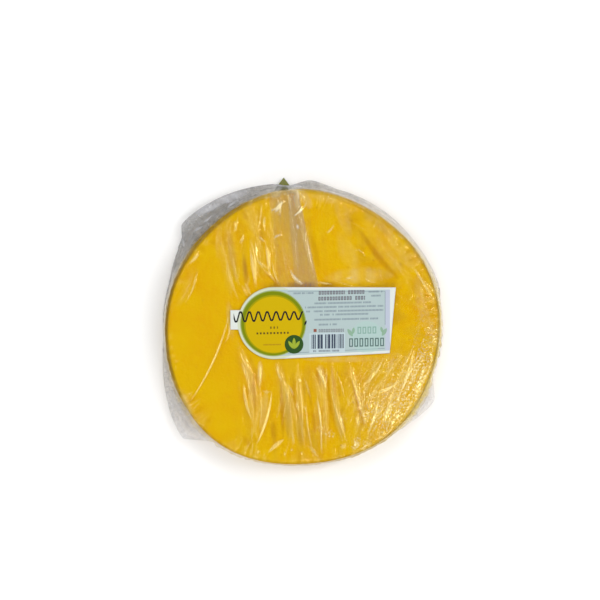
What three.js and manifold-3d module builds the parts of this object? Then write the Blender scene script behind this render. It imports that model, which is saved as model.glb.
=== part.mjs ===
// A sealed pack of corn tortillas, lying on its back with the labelled side up.
// Millimetres, +Z up. The origin is under the middle of the stack, on the flat
// underside that the pack rests on.
import * as THREE from 'three';
import Module from 'manifold-3d';
import { mergeVertices } from 'three/addons/utils/BufferGeometryUtils.js';

// ---- Driving dimensions ----

// The stack: ten tortillas, each 2.2 thick and not quite round
const TORTILLA_RADIUS = 85;
const TORTILLA_COUNT = 10;
const TORTILLA_THICKNESS = 2.2;
const WOBBLES = [ // how far the edge swings out, and the direction in degrees, for 1 to 5 waves
  { swing: 1.2, peak: -39 },
  { swing: 0.8, peak: 41 },
  { swing: 0.9, peak: -15 },
  { swing: 0.25, peak: 42 },
  { swing: 0.75, peak: 20 },
];

// The film bag: how far it lies from the stack, and the crown of its upper face
const FILM_UNDER_STACK = 1;
const FILM_OVER_STACK = 0.5;
const CROWN = 0.9;
const RIM_THICKNESS = 0.9;
const RIM_HEIGHT = 3.3;
const LEAST_MARGIN = 1; // the least distance from the stack to the rim of the bag
const MARGIN = { mean: 2.15, swing: 2.7, peak: 65 };

// The corners of the bag that stand out round the stack, with the slack beside them and one dip.
// Directions are in degrees.
const EARS = [
  { peak: 18.3, reach: 1.7, before: 7, after: 18.5, lift: 0 },
  { peak: 86, reach: 3.3, before: 10.5, after: 10.5, lift: 0.5 },
  { peak: 94, reach: -1.9, before: 6.4, after: 6.6, lift: 0 },
  { peak: 138.5, reach: 11.4, before: 50, after: 8.5, lift: 5.5 },
  { peak: 146.5, reach: 3.7, before: 4, after: 14.5, lift: 0 },
  { peak: 222.5, reach: 16.5, before: 37, after: 9.7, lift: 4.5 },
  { peak: 234.5, reach: 5.8, before: 12.5, after: 31.5, lift: 0 },
  { peak: 331.5, reach: 8.2, before: 24.5, after: 9, lift: 3 },
];
const EAR_BLUNTNESS = 0.1;

// Gathers of the film: each runs from x beside the label to x near the rim
const ABOVE = { labelY: 29, rimY: 82, from: [-38, -28, -15, -1, 11], to: [-43, -31, -19, -8, -2] };
const BELOW = {
  labelY: -21,
  rimY: -72,
  from: [-40, -30, -15, 0, 11, 20, 28, 47],
  to: [-28, -24, -7, 5, 15, 28, 38, 34],
};
const LONE_FOLDS = [
  { from: [44, 72], to: [72, 34] },
  { from: [77, -10], to: [58, -47] },
  { from: [-43, 3], to: [-70, -48] },
];
const FOLD = { height: 1.5, width: 3.6, sharpness: 1.3, fade: 7 };
const PLEATS = { depth: 0.45, counts: [17, 29, 41], shifts: [0.4, 1.9, 3.1] };

// The label: a strip with a round left end and a small tab, its top right corner curled up
const LABEL = {
  thickness: 0.35,
  gap: 0.3,
  tabX: -43.5,
  tabLow: -0.5,
  tabHigh: 11.5,
  roundX: -16.5,
  roundY: 3.5,
  roundRadius: 22.3,
  right: 57,
  highRight: 25.6,
  lowRight: -15.1,
  curl: 2.2,
  curlReach: 13,
};

// The green diamond that seals the bag's folded end at the back, its top point past the rim
const SEAL = { thickness: 0.3, gap: 0.3, tipX: -10.6, tipY: 94.3, halfWidth: 25.6, halfHeight: 34, lie: 0.15 };

// Fineness
const RINGS = 31;
const FLAT_SHARE = 0.72; // how much of the rings the upper face takes, with the rest on the wall
const FLAT_INSET = 9; // where the upper face starts to turn over into the wall

const STACK_TOP = FILM_UNDER_STACK + TORTILLA_COUNT * TORTILLA_THICKNESS;
const FILM_TOP = STACK_TOP + FILM_OVER_STACK;
const radians = THREE.MathUtils.degToRad;
const mix = THREE.MathUtils.lerp;
const ease = THREE.MathUtils.smoothstep;

// ---- Outlines, as radii for a direction ----

function stackRadius(angle) {
  const wobble = (sum, { swing, peak }, i) => sum + swing * Math.cos((i + 1) * (angle - radians(peak)));
  return WOBBLES.reduce(wobble, TORTILLA_RADIUS);
}

// How much of an ear there is in a direction, from 0 to 1
function earShare(ear, angle) {
  const turn = THREE.MathUtils.euclideanModulo(THREE.MathUtils.radToDeg(angle) - ear.peak + 180, 360) - 180;
  const share = turn / (turn < 0 ? ear.before : ear.after);
  return Math.max(0, 1 + 0.4 * EAR_BLUNTNESS - Math.hypot(share, EAR_BLUNTNESS)) ** 1.2;
}

function bagMargin(angle) {
  const ears = EARS.reduce((sum, ear) => sum + ear.reach * earShare(ear, angle), 0);
  const margin = MARGIN.mean + MARGIN.swing * Math.cos(angle - radians(MARGIN.peak)) + ears;
  return Math.max(LEAST_MARGIN, TORTILLA_RADIUS + margin - stackRadius(angle));
}

function rimHeight(angle) {
  return RIM_HEIGHT + EARS.reduce((sum, ear) => sum + ear.lift * earShare(ear, angle) ** 2, 0);
}

// ---- The upper face ----

// Distance of a point from a straight fold
function foldDistance(x, y, [ax, ay], [bx, by]) {
  const along = ((x - ax) * (bx - ax) + (y - ay) * (by - ay)) / ((bx - ax) ** 2 + (by - ay) ** 2);
  const t = THREE.MathUtils.clamp(along, 0, 1);
  return Math.hypot(x - mix(ax, bx, t), y - mix(ay, by, t));
}

const gathers = [ABOVE, BELOW].flatMap(({ labelY, rimY, from, to }) =>
  from.map((x, i) => ({ from: [x, labelY], to: [to[i], rimY] })));
const folds = [...gathers, ...LONE_FOLDS];

// The film is pulled flat under the label, and the folds fade out towards it and towards the rim
function foldHeight(x, y) {
  const beyondX = Math.max(LABEL.tabX - x, x - LABEL.right, 0);
  const beyondY = Math.max(LABEL.roundY - LABEL.roundRadius - y, y - LABEL.highRight, 0);
  const offLabel = ease(Math.hypot(beyondX, beyondY), 1.5, FOLD.fade);
  const near = Math.min(...folds.map((fold) => foldDistance(x, y, fold.from, fold.to)));
  return FOLD.height * offLabel * Math.exp(-((near / FOLD.width) ** FOLD.sharpness));
}

function crownHeight(x, y) {
  return FILM_TOP + CROWN * (1 - (x * x + y * y) / TORTILLA_RADIUS ** 2);
}

// ---- The bag, as one closed solid ----

// The wall from the upper face out to the rim: distance out from the stack's edge, and height
function wallCurve(angle) {
  const margin = bagMargin(angle);
  const rim = rimHeight(angle);
  const spare = margin - LEAST_MARGIN;
  const drop = FILM_TOP - rim;
  return new THREE.CatmullRomCurve3([
    new THREE.Vector3(-FLAT_INSET, FILM_TOP, 0),
    new THREE.Vector3(-3.5, FILM_TOP - 0.5, 0),
    new THREE.Vector3(0.5, FILM_TOP - 4.5, 0),
    new THREE.Vector3(0.9 + 0.25 * spare, rim + 0.45 * drop, 0),
    new THREE.Vector3(1.1 + 0.55 * spare, rim + 0.16 * drop, 0),
    new THREE.Vector3(margin, rim, 0),
  ], false, 'centripetal');
}

function pleat(angle) {
  const waves = PLEATS.counts.map((count, i) => Math.sin(count * angle + PLEATS.shifts[i]));
  return PLEATS.depth * waves.reduce((sum, wave) => sum + wave, 0) / waves.length;
}

// The point of the upper face or wall at a share of the way from the centre to the rim
function upperPoint(share, angle) {
  const edge = stackRadius(angle);
  if (share <= FLAT_SHARE) {
    const radius = (share / FLAT_SHARE) * (edge - FLAT_INSET);
    const [x, y] = [radius * Math.cos(angle), radius * Math.sin(angle)];
    const levelled = 1 - ease(radius, 0.8 * edge, edge - FLAT_INSET);
    return [x, y, mix(FILM_TOP, crownHeight(x, y), levelled) + foldHeight(x, y)];
  }
  const along = (share - FLAT_SHARE) / (1 - FLAT_SHARE);
  const { x: out, y: height } = wallCurve(angle).getPoint(along);
  const radius = edge + out + pleat(angle) * Math.sin(Math.PI * along);
  const [x, y] = [radius * Math.cos(angle), radius * Math.sin(angle)];
  return [x, y, height + foldHeight(x, y) * (1 - ease(along, 0, 0.35))];
}

// The underside, from the rim in to the flat base: distance out from the stack's edge, and height
const UNDERSIDE_STEPS = 4;
function undersideStep(step, angle) {
  const margin = bagMargin(angle);
  const lip = rimHeight(angle) - RIM_THICKNESS;
  return [
    [margin, lip],
    [0.6 * margin, mix(0.35, lip, 0.6)],
    [-1.5, 0.35],
    [-6, 0],
  ][step];
}

function undersideHeight(x, y) {
  const angle = Math.atan2(y, x);
  const out = Math.hypot(x, y) - stackRadius(angle);
  const steps = Array.from({ length: UNDERSIDE_STEPS }, (_, step) => undersideStep(step, angle));
  for (let i = 1; i < steps.length; i++) {
    const [outer, inner] = [steps[i - 1], steps[i]];
    if (out >= inner[0]) {
      const t = Math.min(1, (out - inner[0]) / (outer[0] - inner[0]));
      return mix(inner[1], outer[1], t);
    }
  }
  return 0;
}

// A square grid eased into a unit disc, ring by ring, so that no pole gathers thin triangles.
// The cells of two quarters are split along their other diagonal, which keeps the corners plump.
function gridDisc(rings) {
  const grid = new THREE.PlaneGeometry(2, 2, 2 * rings, 2 * rings);
  const place = grid.getAttribute('position');
  const cells = grid.getIndex().array;
  for (let i = 0; i < cells.length; i += 6) {
    const [a, b, d, , c] = cells.slice(i, i + 6);
    const middleX = place.getX(a) + place.getX(c);
    const middleY = place.getY(a) + place.getY(c);
    if (middleX * middleY < 0) cells.set([a, b, c, a, c, d], i);
  }
  for (let i = 0; i < place.count; i++) {
    const [x, y] = [place.getX(i), place.getY(i)];
    const wide = Math.abs(x) > Math.abs(y);
    const share = wide ? x : y;
    const turn = share === 0 ? 0 : (Math.PI / 4) * (wide ? y / x : 2 - x / y);
    place.setXY(i, share * Math.cos(turn), share * Math.sin(turn));
  }
  return grid;
}

function bagGeometry() {
  const disc = gridDisc(RINGS);
  const place = disc.getAttribute('position');
  const points = [];
  const rim = [];
  for (let i = 0; i < place.count; i++) {
    const [x, y] = [place.getX(i), place.getY(i)];
    const share = Math.min(1, Math.hypot(x, y));
    const angle = Math.atan2(y, x);
    points.push(upperPoint(share, angle));
    if (share > 1 - 0.5 / RINGS) rim.push({ index: i, angle });
  }
  rim.sort((a, b) => a.angle - b.angle);

  const triangles = [...disc.getIndex().array];
  let outer = rim.map(({ index }) => index);
  for (let step = 0; step < UNDERSIDE_STEPS; step++) {
    const inner = rim.map(({ angle }) => {
      const [out, height] = undersideStep(step, angle);
      const radius = stackRadius(angle) + out;
      points.push([radius * Math.cos(angle), radius * Math.sin(angle), height]);
      return points.length - 1;
    });
    outer.forEach((corner, i) => {
      const j = (i + 1) % outer.length;
      triangles.push(corner, inner[i], outer[j], outer[j], inner[i], inner[j]);
    });
    outer = inner;
  }

  const base = outer.map((index) => new THREE.Vector2(points[index][0], points[index][1]));
  for (const [a, b, c] of THREE.ShapeUtils.triangulateShape(base, [])) {
    triangles.push(outer[c], outer[b], outer[a]);
  }
  const geometry = new THREE.BufferGeometry();
  geometry.setAttribute('position', new THREE.Float32BufferAttribute(points.flat(), 3));
  geometry.setIndex(triangles);
  return geometry;
}

// ---- The label ----

// Columns of the label: the tab, then the round end by equal turns, then the straight strip
const LABEL_COLUMNS = { tab: 4, round: 12, strip: 16 };
const LABEL_ROWS = 10;

function tabJoinX() {
  const rise = LABEL.tabHigh - LABEL.roundY;
  return LABEL.roundX - Math.sqrt(LABEL.roundRadius ** 2 - rise ** 2);
}

function labelX(column) {
  const { tab, round } = LABEL_COLUMNS;
  const join = tabJoinX();
  if (column <= tab) return mix(LABEL.tabX, join, column / tab);
  if (column <= tab + round) {
    const start = Math.acos((LABEL.roundX - join) / LABEL.roundRadius);
    const turn = mix(start, Math.PI / 2, (column - tab) / round);
    return LABEL.roundX - LABEL.roundRadius * Math.cos(turn);
  }
  return mix(LABEL.roundX, LABEL.right, (column - tab - round) / LABEL_COLUMNS.strip);
}

function labelSpan(x) {
  const rise = Math.sqrt(Math.max(0, LABEL.roundRadius ** 2 - (x - LABEL.roundX) ** 2));
  if (x < LABEL.roundX) {
    const [low, high] = [LABEL.roundY - rise, LABEL.roundY + rise];
    return x < tabJoinX() + 1e-6
      ? [Math.min(LABEL.tabLow, low), LABEL.tabHigh]
      : [Math.min(LABEL.tabLow, low), high];
  }
  const t = (x - LABEL.roundX) / (LABEL.right - LABEL.roundX);
  return [
    mix(LABEL.roundY - LABEL.roundRadius, LABEL.lowRight, t),
    mix(LABEL.roundY + LABEL.roundRadius, LABEL.highRight, t),
  ];
}

// The curl of the label's top right corner
function curlHeight(x, y) {
  const away = Math.hypot(LABEL.right - x, LABEL.highRight - y);
  return LABEL.curl * Math.max(0, 1 - away / LABEL.curlReach) ** 2;
}

function labelGeometry() {
  const columns = LABEL_COLUMNS.tab + LABEL_COLUMNS.round + LABEL_COLUMNS.strip;
  const plate = new THREE.BoxGeometry(1, 1, 1, columns, LABEL_ROWS, 1);
  const place = plate.getAttribute('position');
  for (let i = 0; i < place.count; i++) {
    const x = labelX(Math.round((place.getX(i) + 0.5) * columns));
    const [low, high] = labelSpan(x);
    const y = mix(low, high, place.getY(i) + 0.5);
    const lie = crownHeight(x, y) + LABEL.gap + curlHeight(x, y);
    place.setXYZ(i, x, y, lie + LABEL.thickness * (place.getZ(i) + 0.5));
  }
  return plate;
}

// ---- The seal at the back ----

// A diamond plate on the grid of a box, with low and high giving its faces over a point
function diamondGeometry(grow, cells, low, high) {
  const plate = new THREE.BoxGeometry(1, 1, 1, cells, cells, 1);
  const place = plate.getAttribute('position');
  const centreY = SEAL.tipY - SEAL.halfHeight;
  for (let i = 0; i < place.count; i++) {
    const [u, v, w] = [place.getX(i), place.getY(i), place.getZ(i)];
    const x = SEAL.tipX + (u - v) * (SEAL.halfWidth + grow);
    const y = centreY + (u + v) * (SEAL.halfHeight + grow);
    place.setXYZ(i, x, y, w < 0 ? low(x, y) : high(x, y));
  }
  return plate;
}

const SEAL_TOP = SEAL.lie + SEAL.thickness;
const RECESS_TOP = SEAL_TOP + SEAL.gap;

// The seal lies flat under the bag and follows the film up to the rim
function sealTop(x, y) {
  return Math.max(SEAL_TOP, undersideHeight(x, y) - SEAL.gap);
}

function sealGeometry() {
  return diamondGeometry(0, 24, (x, y) => sealTop(x, y) - SEAL.thickness, sealTop);
}

// ---- Cutting the seal's recess out of the bag ----

const wasm = await Module();
wasm.setup();

function positionsOnly(geometry) {
  const bare = new THREE.BufferGeometry();
  bare.setAttribute('position', geometry.getAttribute('position').clone());
  bare.setIndex(geometry.getIndex().clone());
  return mergeVertices(bare, 1e-4);
}

function toSolid(geometry) {
  const bare = positionsOnly(geometry);
  return new wasm.Manifold(new wasm.Mesh({
    numProp: 3,
    vertProperties: new Float32Array(bare.getAttribute('position').array),
    triVerts: new Uint32Array(bare.getIndex().array),
  }));
}

function toGeometry(solid) {
  const { vertProperties, triVerts } = solid.getMesh();
  const geometry = new THREE.BufferGeometry();
  geometry.setAttribute('position', new THREE.BufferAttribute(vertProperties, 3));
  geometry.setIndex(new THREE.BufferAttribute(triVerts, 1));
  geometry.computeVertexNormals();
  return geometry;
}

const recess = diamondGeometry(0.6, 1, () => -1, () => RECESS_TOP);
const bagSolid = toSolid(bagGeometry()).subtract(toSolid(recess));

// ---- The pack ----

function piece(name, geometry, color, roughness) {
  const mesh = new THREE.Mesh(geometry, new THREE.MeshStandardMaterial({ color, roughness, metalness: 0 }));
  mesh.name = name;
  return mesh;
}

const pack = new THREE.Group();
pack.add(
  piece('bag', toGeometry(bagSolid), 0xe0b00c, 0.3),
  piece('label', labelGeometry(), 0xd9e2dc, 0.45),
  piece('closing_seal', sealGeometry(), 0x78891f, 0.5),
);

export default pack;
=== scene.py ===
import math

import bmesh
import bpy
import numpy as np
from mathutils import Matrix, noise


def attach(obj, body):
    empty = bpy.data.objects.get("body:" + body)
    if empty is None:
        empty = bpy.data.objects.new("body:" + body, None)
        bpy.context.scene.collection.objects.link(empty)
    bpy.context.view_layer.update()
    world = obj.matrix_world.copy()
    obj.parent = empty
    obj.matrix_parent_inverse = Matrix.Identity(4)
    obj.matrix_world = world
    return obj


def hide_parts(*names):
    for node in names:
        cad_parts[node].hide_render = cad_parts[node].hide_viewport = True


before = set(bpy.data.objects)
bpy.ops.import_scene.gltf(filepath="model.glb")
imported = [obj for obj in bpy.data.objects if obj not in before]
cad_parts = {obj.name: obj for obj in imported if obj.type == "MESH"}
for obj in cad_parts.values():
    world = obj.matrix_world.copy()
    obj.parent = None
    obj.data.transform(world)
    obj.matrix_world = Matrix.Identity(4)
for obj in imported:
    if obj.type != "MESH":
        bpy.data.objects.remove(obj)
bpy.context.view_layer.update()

# ---- The tortillas ----
# Ten soft discs of yellow corn dough, pressed, griddled and stacked with their edges a little out
# of line. Each has a rounded edge, and the top one shows its blisters, pores and specks of bran.

MM = 0.001
TORTILLA_RADIUS = 85 * MM
TORTILLA_COUNT = 10
TORTILLA_PITCH = 2.2 * MM
TORTILLA_THICKNESS = 2.05 * MM
STACK_FOOT = 1.0 * MM
CROWN = 0.9 * MM  # how far the middle of the stack stands above its edge
WOBBLES = ((1.2, -39), (0.8, 41), (0.9, -15), (0.25, 42), (0.75, 20))  # mm, degrees, 1 to 5 waves
TOP_CELLS, OTHER_CELLS = 150, 64
EDGE_SHARE = 0.9  # how much of a disc's rings lie inside its rounded edge
UPPER_INSETS = (0.8 * MM, 0.6 * MM)  # how far the top two stay inside the stack's edge
OTHER_INSETS, OUT_OF_LINE = (-0.3, 0.5), 0.3  # mm, at random
DROOP, DROOP_REACH, DROOP_KEPT = 1.9 * MM, 6.5 * MM, 0.72
BAG_RADIUS, BAG_OFFSET, BAG_TURN = 88 * MM, 3.3 * MM, 0.35  # what the stack has room for
SPREAD = (0.1, 0.2, 0.3, 0.3, 0.25, 0.15, 0.08, 0, 0, 0)  # the share of it taken, foot to top
MOST_SPREAD = 1.4 * MM
BLISTER_COUNT, BLISTER_HEIGHT = 60, 0.35 * MM
SWELL_HEIGHT, DIMPLE_HEIGHT = 0.12 * MM, 0.05 * MM

DOUGH_YELLOW = (0.616, 0.364, 0.0, 1)
DOUGH_GRIDDLED = (0.604, 0.312, 0.0, 1)
DOUGH_PALE = (0.64, 0.40, 0.002, 1)
BRAN_BROWN = (0.40, 0.19, 0.008, 1)

rng = np.random.default_rng(11)


def stack_radius(angle):
    """The stack's edge, which isn't quite round."""
    swings = (swing * MM * np.cos((i + 1) * (angle - math.radians(peak)))
              for i, (swing, peak) in enumerate(WOBBLES))
    return TORTILLA_RADIUS + sum(swings)


def eased_disc(bm, cells):
    """A grid eased into a unit disc ring by ring. Gives its vertices, their share of the radius
    and their direction."""
    made = bmesh.ops.create_grid(bm, x_segments=cells, y_segments=cells, size=1)["verts"]
    x, y = np.array([v.co[:2] for v in made]).T
    wide = np.abs(x) > np.abs(y)
    longer = np.where(wide, x, y)
    shorter = np.where(wide, y, x)
    turn = math.pi / 4 * np.divide(shorter, longer, out=np.zeros_like(x), where=longer != 0)
    angle = np.where(wide, turn, math.pi / 2 - turn) + np.where(longer < 0, math.pi, 0)
    return made, np.abs(longer), angle


def place(verts, x, y, z):
    """Moves vertices to where they belong."""
    for v, spot in zip(verts, np.column_stack((x, y, z)).tolist()):
        v.co = spot


def piece_from(bm, name, material):
    """The finished mesh as a piece of the pack, smooth, with its material and its body."""
    mesh = bpy.data.meshes.new(name)
    bm.to_mesh(mesh)
    bm.free()
    for face in mesh.polygons:
        face.use_smooth = True
    mesh.materials.append(material)
    piece = bpy.data.objects.new(name, mesh)
    bpy.context.scene.collection.objects.link(piece)
    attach(piece, "root")
    return piece


def blisters(x, y, count, largest):
    """Low round rises scattered over a disc, as heights."""
    rise = np.zeros_like(x)
    for _ in range(count):
        reach, turn = TORTILLA_RADIUS * math.sqrt(rng.uniform(0, 0.9)), rng.uniform(0, math.tau)
        width = rng.uniform(1.2, 4.0) * MM
        far2 = (x - reach * math.cos(turn)) ** 2 + (y - reach * math.sin(turn)) ** 2
        rise = np.maximum(rise, rng.uniform(0.3, 1) * largest * np.exp(-far2 / width ** 2))
    return rise


def rough(x, y, size, seed):
    """Soft uneven noise over a disc, from -1 to 1."""
    return np.array([noise.noise((a / size, b / size, seed)) for a, b in zip(x.tolist(), y.tolist())])


def new_material(name, roughness, specular):
    """A new material, its node tree, its shader and its Object coordinates."""
    material = bpy.data.materials.new(name)
    material.use_nodes = True
    tree = material.node_tree
    shader = tree.nodes["Principled BSDF"]
    shader.inputs["Roughness"].default_value = roughness
    shader.inputs["Specular IOR Level"].default_value = specular
    return material, tree, shader, tree.nodes.new("ShaderNodeTexCoord").outputs["Object"]


def feed(tree, socket, value):
    """Puts a number or colour on a socket, or links another node's output to it."""
    if isinstance(value, bpy.types.NodeSocket):
        tree.links.new(value, socket)
    else:
        socket.default_value = value


def fine_noise(tree, where, scale, detail, dimensions="3D"):
    """Fine noise, from 0 to 1."""
    texture = tree.nodes.new("ShaderNodeTexNoise")
    texture.noise_dimensions = dimensions
    texture.inputs["Scale"].default_value = scale
    texture.inputs["Detail"].default_value = detail
    tree.links.new(where, texture.inputs["Vector"])
    return texture.outputs["Fac"]


def laid_over(tree, base, colour, share):
    """A colour laid over another by a share. Both are colours or other nodes' outputs."""
    mix = tree.nodes.new("ShaderNodeMix")
    mix.data_type = "RGBA"
    feed(tree, mix.inputs["A"], base)
    feed(tree, mix.inputs["B"], colour)
    tree.links.new(share, mix.inputs["Factor"])
    return mix.outputs["Result"]


def low_grain():
    """The node group for the grain that dough and paper have: how high it stands, from 0 to 1, and
    the normal of its low relief."""
    group = bpy.data.node_groups.new("low_grain", "ShaderNodeTree")
    group.interface.new_socket("Where", in_out="INPUT", socket_type="NodeSocketVector")
    for name in ("Scale", "Detail", "Strength", "Distance"):
        group.interface.new_socket(name, in_out="INPUT", socket_type="NodeSocketFloat")
    group.interface.new_socket("Grain", in_out="OUTPUT", socket_type="NodeSocketFloat")
    group.interface.new_socket("Normal", in_out="OUTPUT", socket_type="NodeSocketVector")
    given = group.nodes.new("NodeGroupInput").outputs
    put_out = group.nodes.new("NodeGroupOutput").inputs
    texture, bump = group.nodes.new("ShaderNodeTexNoise"), group.nodes.new("ShaderNodeBump")
    group.links.new(given["Where"], texture.inputs["Vector"])
    for name, node in (("Scale", texture), ("Detail", texture), ("Strength", bump), ("Distance", bump)):
        group.links.new(given[name], node.inputs[name])
    group.links.new(texture.outputs["Fac"], bump.inputs["Height"])
    group.links.new(texture.outputs["Fac"], put_out["Grain"])
    group.links.new(bump.outputs["Normal"], put_out["Normal"])
    return group


GRAIN = low_grain()


def grained(tree, shader, where, scale, detail, strength, distance):
    """Gives a surface its low grain, and returns how high it stands."""
    node = tree.nodes.new("ShaderNodeGroup")
    node.node_tree = GRAIN
    for name, value in (("Where", where), ("Scale", scale), ("Detail", detail),
                        ("Strength", strength), ("Distance", distance)):
        feed(tree, node.inputs[name], value)
    tree.links.new(node.outputs["Normal"], shader.inputs["Normal"])
    return node.outputs["Grain"]


def corn_dough():
    """Yellow dough, its griddled and paler patches, specks of bran, and pores."""
    material, tree, shader, where = new_material("corn_dough", 0.9, 0.03)
    colour = DOUGH_YELLOW
    specks = ((DOUGH_GRIDDLED, 45, 4, 0.4, 0.68), (DOUGH_PALE, 420, 3, 0.45, 0.75),
              (BRAN_BROWN, 620, 1, 0.725, 0.77))
    for over, scale, detail, low, high in specks:
        ramp = tree.nodes.new("ShaderNodeMapRange")
        ramp.inputs["From Min"].default_value = low
        ramp.inputs["From Max"].default_value = high
        tree.links.new(fine_noise(tree, where, scale, detail), ramp.inputs["Value"])
        colour = laid_over(tree, colour, over, ramp.outputs["Result"])
    tree.links.new(colour, shader.inputs["Base Color"])
    grained(tree, shader, where, 600, 5, 0.5, 0.4 * MM)
    return material


dough = corn_dough()
for number in range(TORTILLA_COUNT):
    below_top = TORTILLA_COUNT - 1 - number
    inset = UPPER_INSETS[below_top] if below_top < 2 else rng.uniform(*OTHER_INSETS) * MM
    shift = rng.uniform(-OUT_OF_LINE, OUT_OF_LINE, 2) * MM * (below_top > 1)
    middle = STACK_FOOT + (number + 0.5) * TORTILLA_PITCH
    bm = bmesh.new()
    for side in (1, -1):
        verts, share, angle = eased_disc(bm, OTHER_CELLS if below_top else TOP_CELLS)
        edge = stack_radius(angle)
        curl = np.clip((share - EDGE_SHARE) / (1 - EDGE_SHARE), 0, 1) * math.pi / 2
        half = TORTILLA_THICKNESS / 2 * (1 - 0.25 * share ** 12)
        slack = (BAG_RADIUS + BAG_OFFSET * np.sin(angle - BAG_TURN) - edge) * SPREAD[number]
        flat = edge + np.clip(slack, 0, MOST_SPREAD) - inset - half
        radius = np.minimum(share / EDGE_SHARE, 1) * flat + half * np.sin(curl)
        x, y = radius * np.cos(angle) + shift[0], radius * np.sin(angle) + shift[1]
        height = middle + side * half * np.cos(curl)
        height += CROWN * (number + 0.5) / TORTILLA_COUNT * (1 - (radius / TORTILLA_RADIUS) ** 2)
        # the edges of the upper ones hang a little, less and less down the stack
        hang = DROOP * (np.clip(radius - edge + DROOP_REACH, 0, None) / DROOP_REACH) ** 5
        height += 0.1 * MM * np.sin(3 * angle + number) * share ** 4 - hang * DROOP_KEPT ** below_top
        if below_top == 0 and side > 0:
            height += SWELL_HEIGHT * rough(x, y, 9 * MM, 0) + DIMPLE_HEIGHT * rough(x, y, 2.2 * MM, 5)
            height += blisters(x, y, BLISTER_COUNT, BLISTER_HEIGHT) * np.cos(curl)
        place(verts, x, y, height)
        if side < 0:
            bmesh.ops.reverse_faces(bm, faces=list({f for v in verts for f in v.link_faces}))
    bmesh.ops.remove_doubles(bm, verts=bm.verts, dist=0.02 * MM)
    tortilla = piece_from(bm, f"tortilla_{number + 1}", dough)
    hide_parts("bag")

# ---- The film bag, front ----
# Thin clear film drawn over the stack and tucked behind it. It clings in places and stands off in
# gathers that run from the label to the rim, and its corners stand out round the stack as ears.

FILM_TOP = STACK_FOOT + TORTILLA_COUNT * TORTILLA_PITCH + 0.5 * MM
FLAT_SHARE = 0.72  # how much of the film's rings lie on its flat face
FLAT_INSET = 9 * MM  # how far that face ends inside the stack's edge
WALL_BULGE = 1.12  # how much longer the wall beyond it is than a straight one
WALL_STEP = 0.01
RIM_HEIGHT = 3.3 * MM
LEAST_MARGIN = 1 * MM
MARGIN_MEAN, MARGIN_SWING, MARGIN_PEAK = 2.15 * MM, 2.7 * MM, 65
# direction, reach, width before and after, and how far the tip lifts
EARS = ((18.3, 1.7, 7, 18.5, 0), (86, 3.3, 10.5, 10.5, 0.5), (94, -1.9, 6.4, 6.6, 0),
        (138.5, 11.4, 50, 8.5, 5.5), (146.5, 3.7, 4, 14.5, 0), (222.5, 16.5, 37, 9.7, 4.5),
        (234.5, 5.8, 12.5, 31.5, 0), (331.5, 8.2, 24.5, 9, 3))
EAR_BLUNTNESS = 0.1
FRONT_CELLS = 300

# Where the label pulls the film flat
LABEL_LEFT, LABEL_RIGHT, LABEL_LOW, LABEL_HIGH = -43.5 * MM, 57 * MM, -18.8 * MM, 25.8 * MM
STRIP_LEFT = -17 * MM
ROUND_X, ROUND_Y, ROUND_RADIUS = -16.5 * MM, 3.5 * MM, 22.3 * MM

# How the film settles: each round moves it by a share of what its threads, stiffness and cling ask
SETTLE_ROUNDS = 240
PUSH, STIFFNESS, CLING = 0.32, 0.12, 0.998
MOST_LIFT = 2.2 * MM

# The way the folds run, and the crushed corner, where bands of light run between steep folds
FOLDS_ABOVE, FOLDS_BELOW, FOLDS_CRUSHED = 97, 90, 62  # degrees
CRUSHED_X, CRUSHED_Y, CRUSHED_INSIDE, CRUSHED_REACH = 56, -42, 18, 36  # mm
STEEP_WAY, BAND_SINE, BAND_COSINE = 1.1, 0.89, 0.45

# Where the film lies double, from the rim down to the label, in mm: each edge at the one and the other
DOUBLE_TOP, DOUBLE_LENGTH = 86, 59
DOUBLE_LEFT, DOUBLE_RIGHT, DOUBLE_AGAIN = (-19, -14), (-2, 11), (-8, -3.5)

WHITE_GLINT, CORN_GLINT = (1, 1, 1, 1), (1, 0.82, 0.34, 1)  # past the stack, and over it
# the colour of the painted dashes of light on crushed film
PAINTED_DASH_LIGHT = (0.97, 0.79, 0.38, 1)

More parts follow.
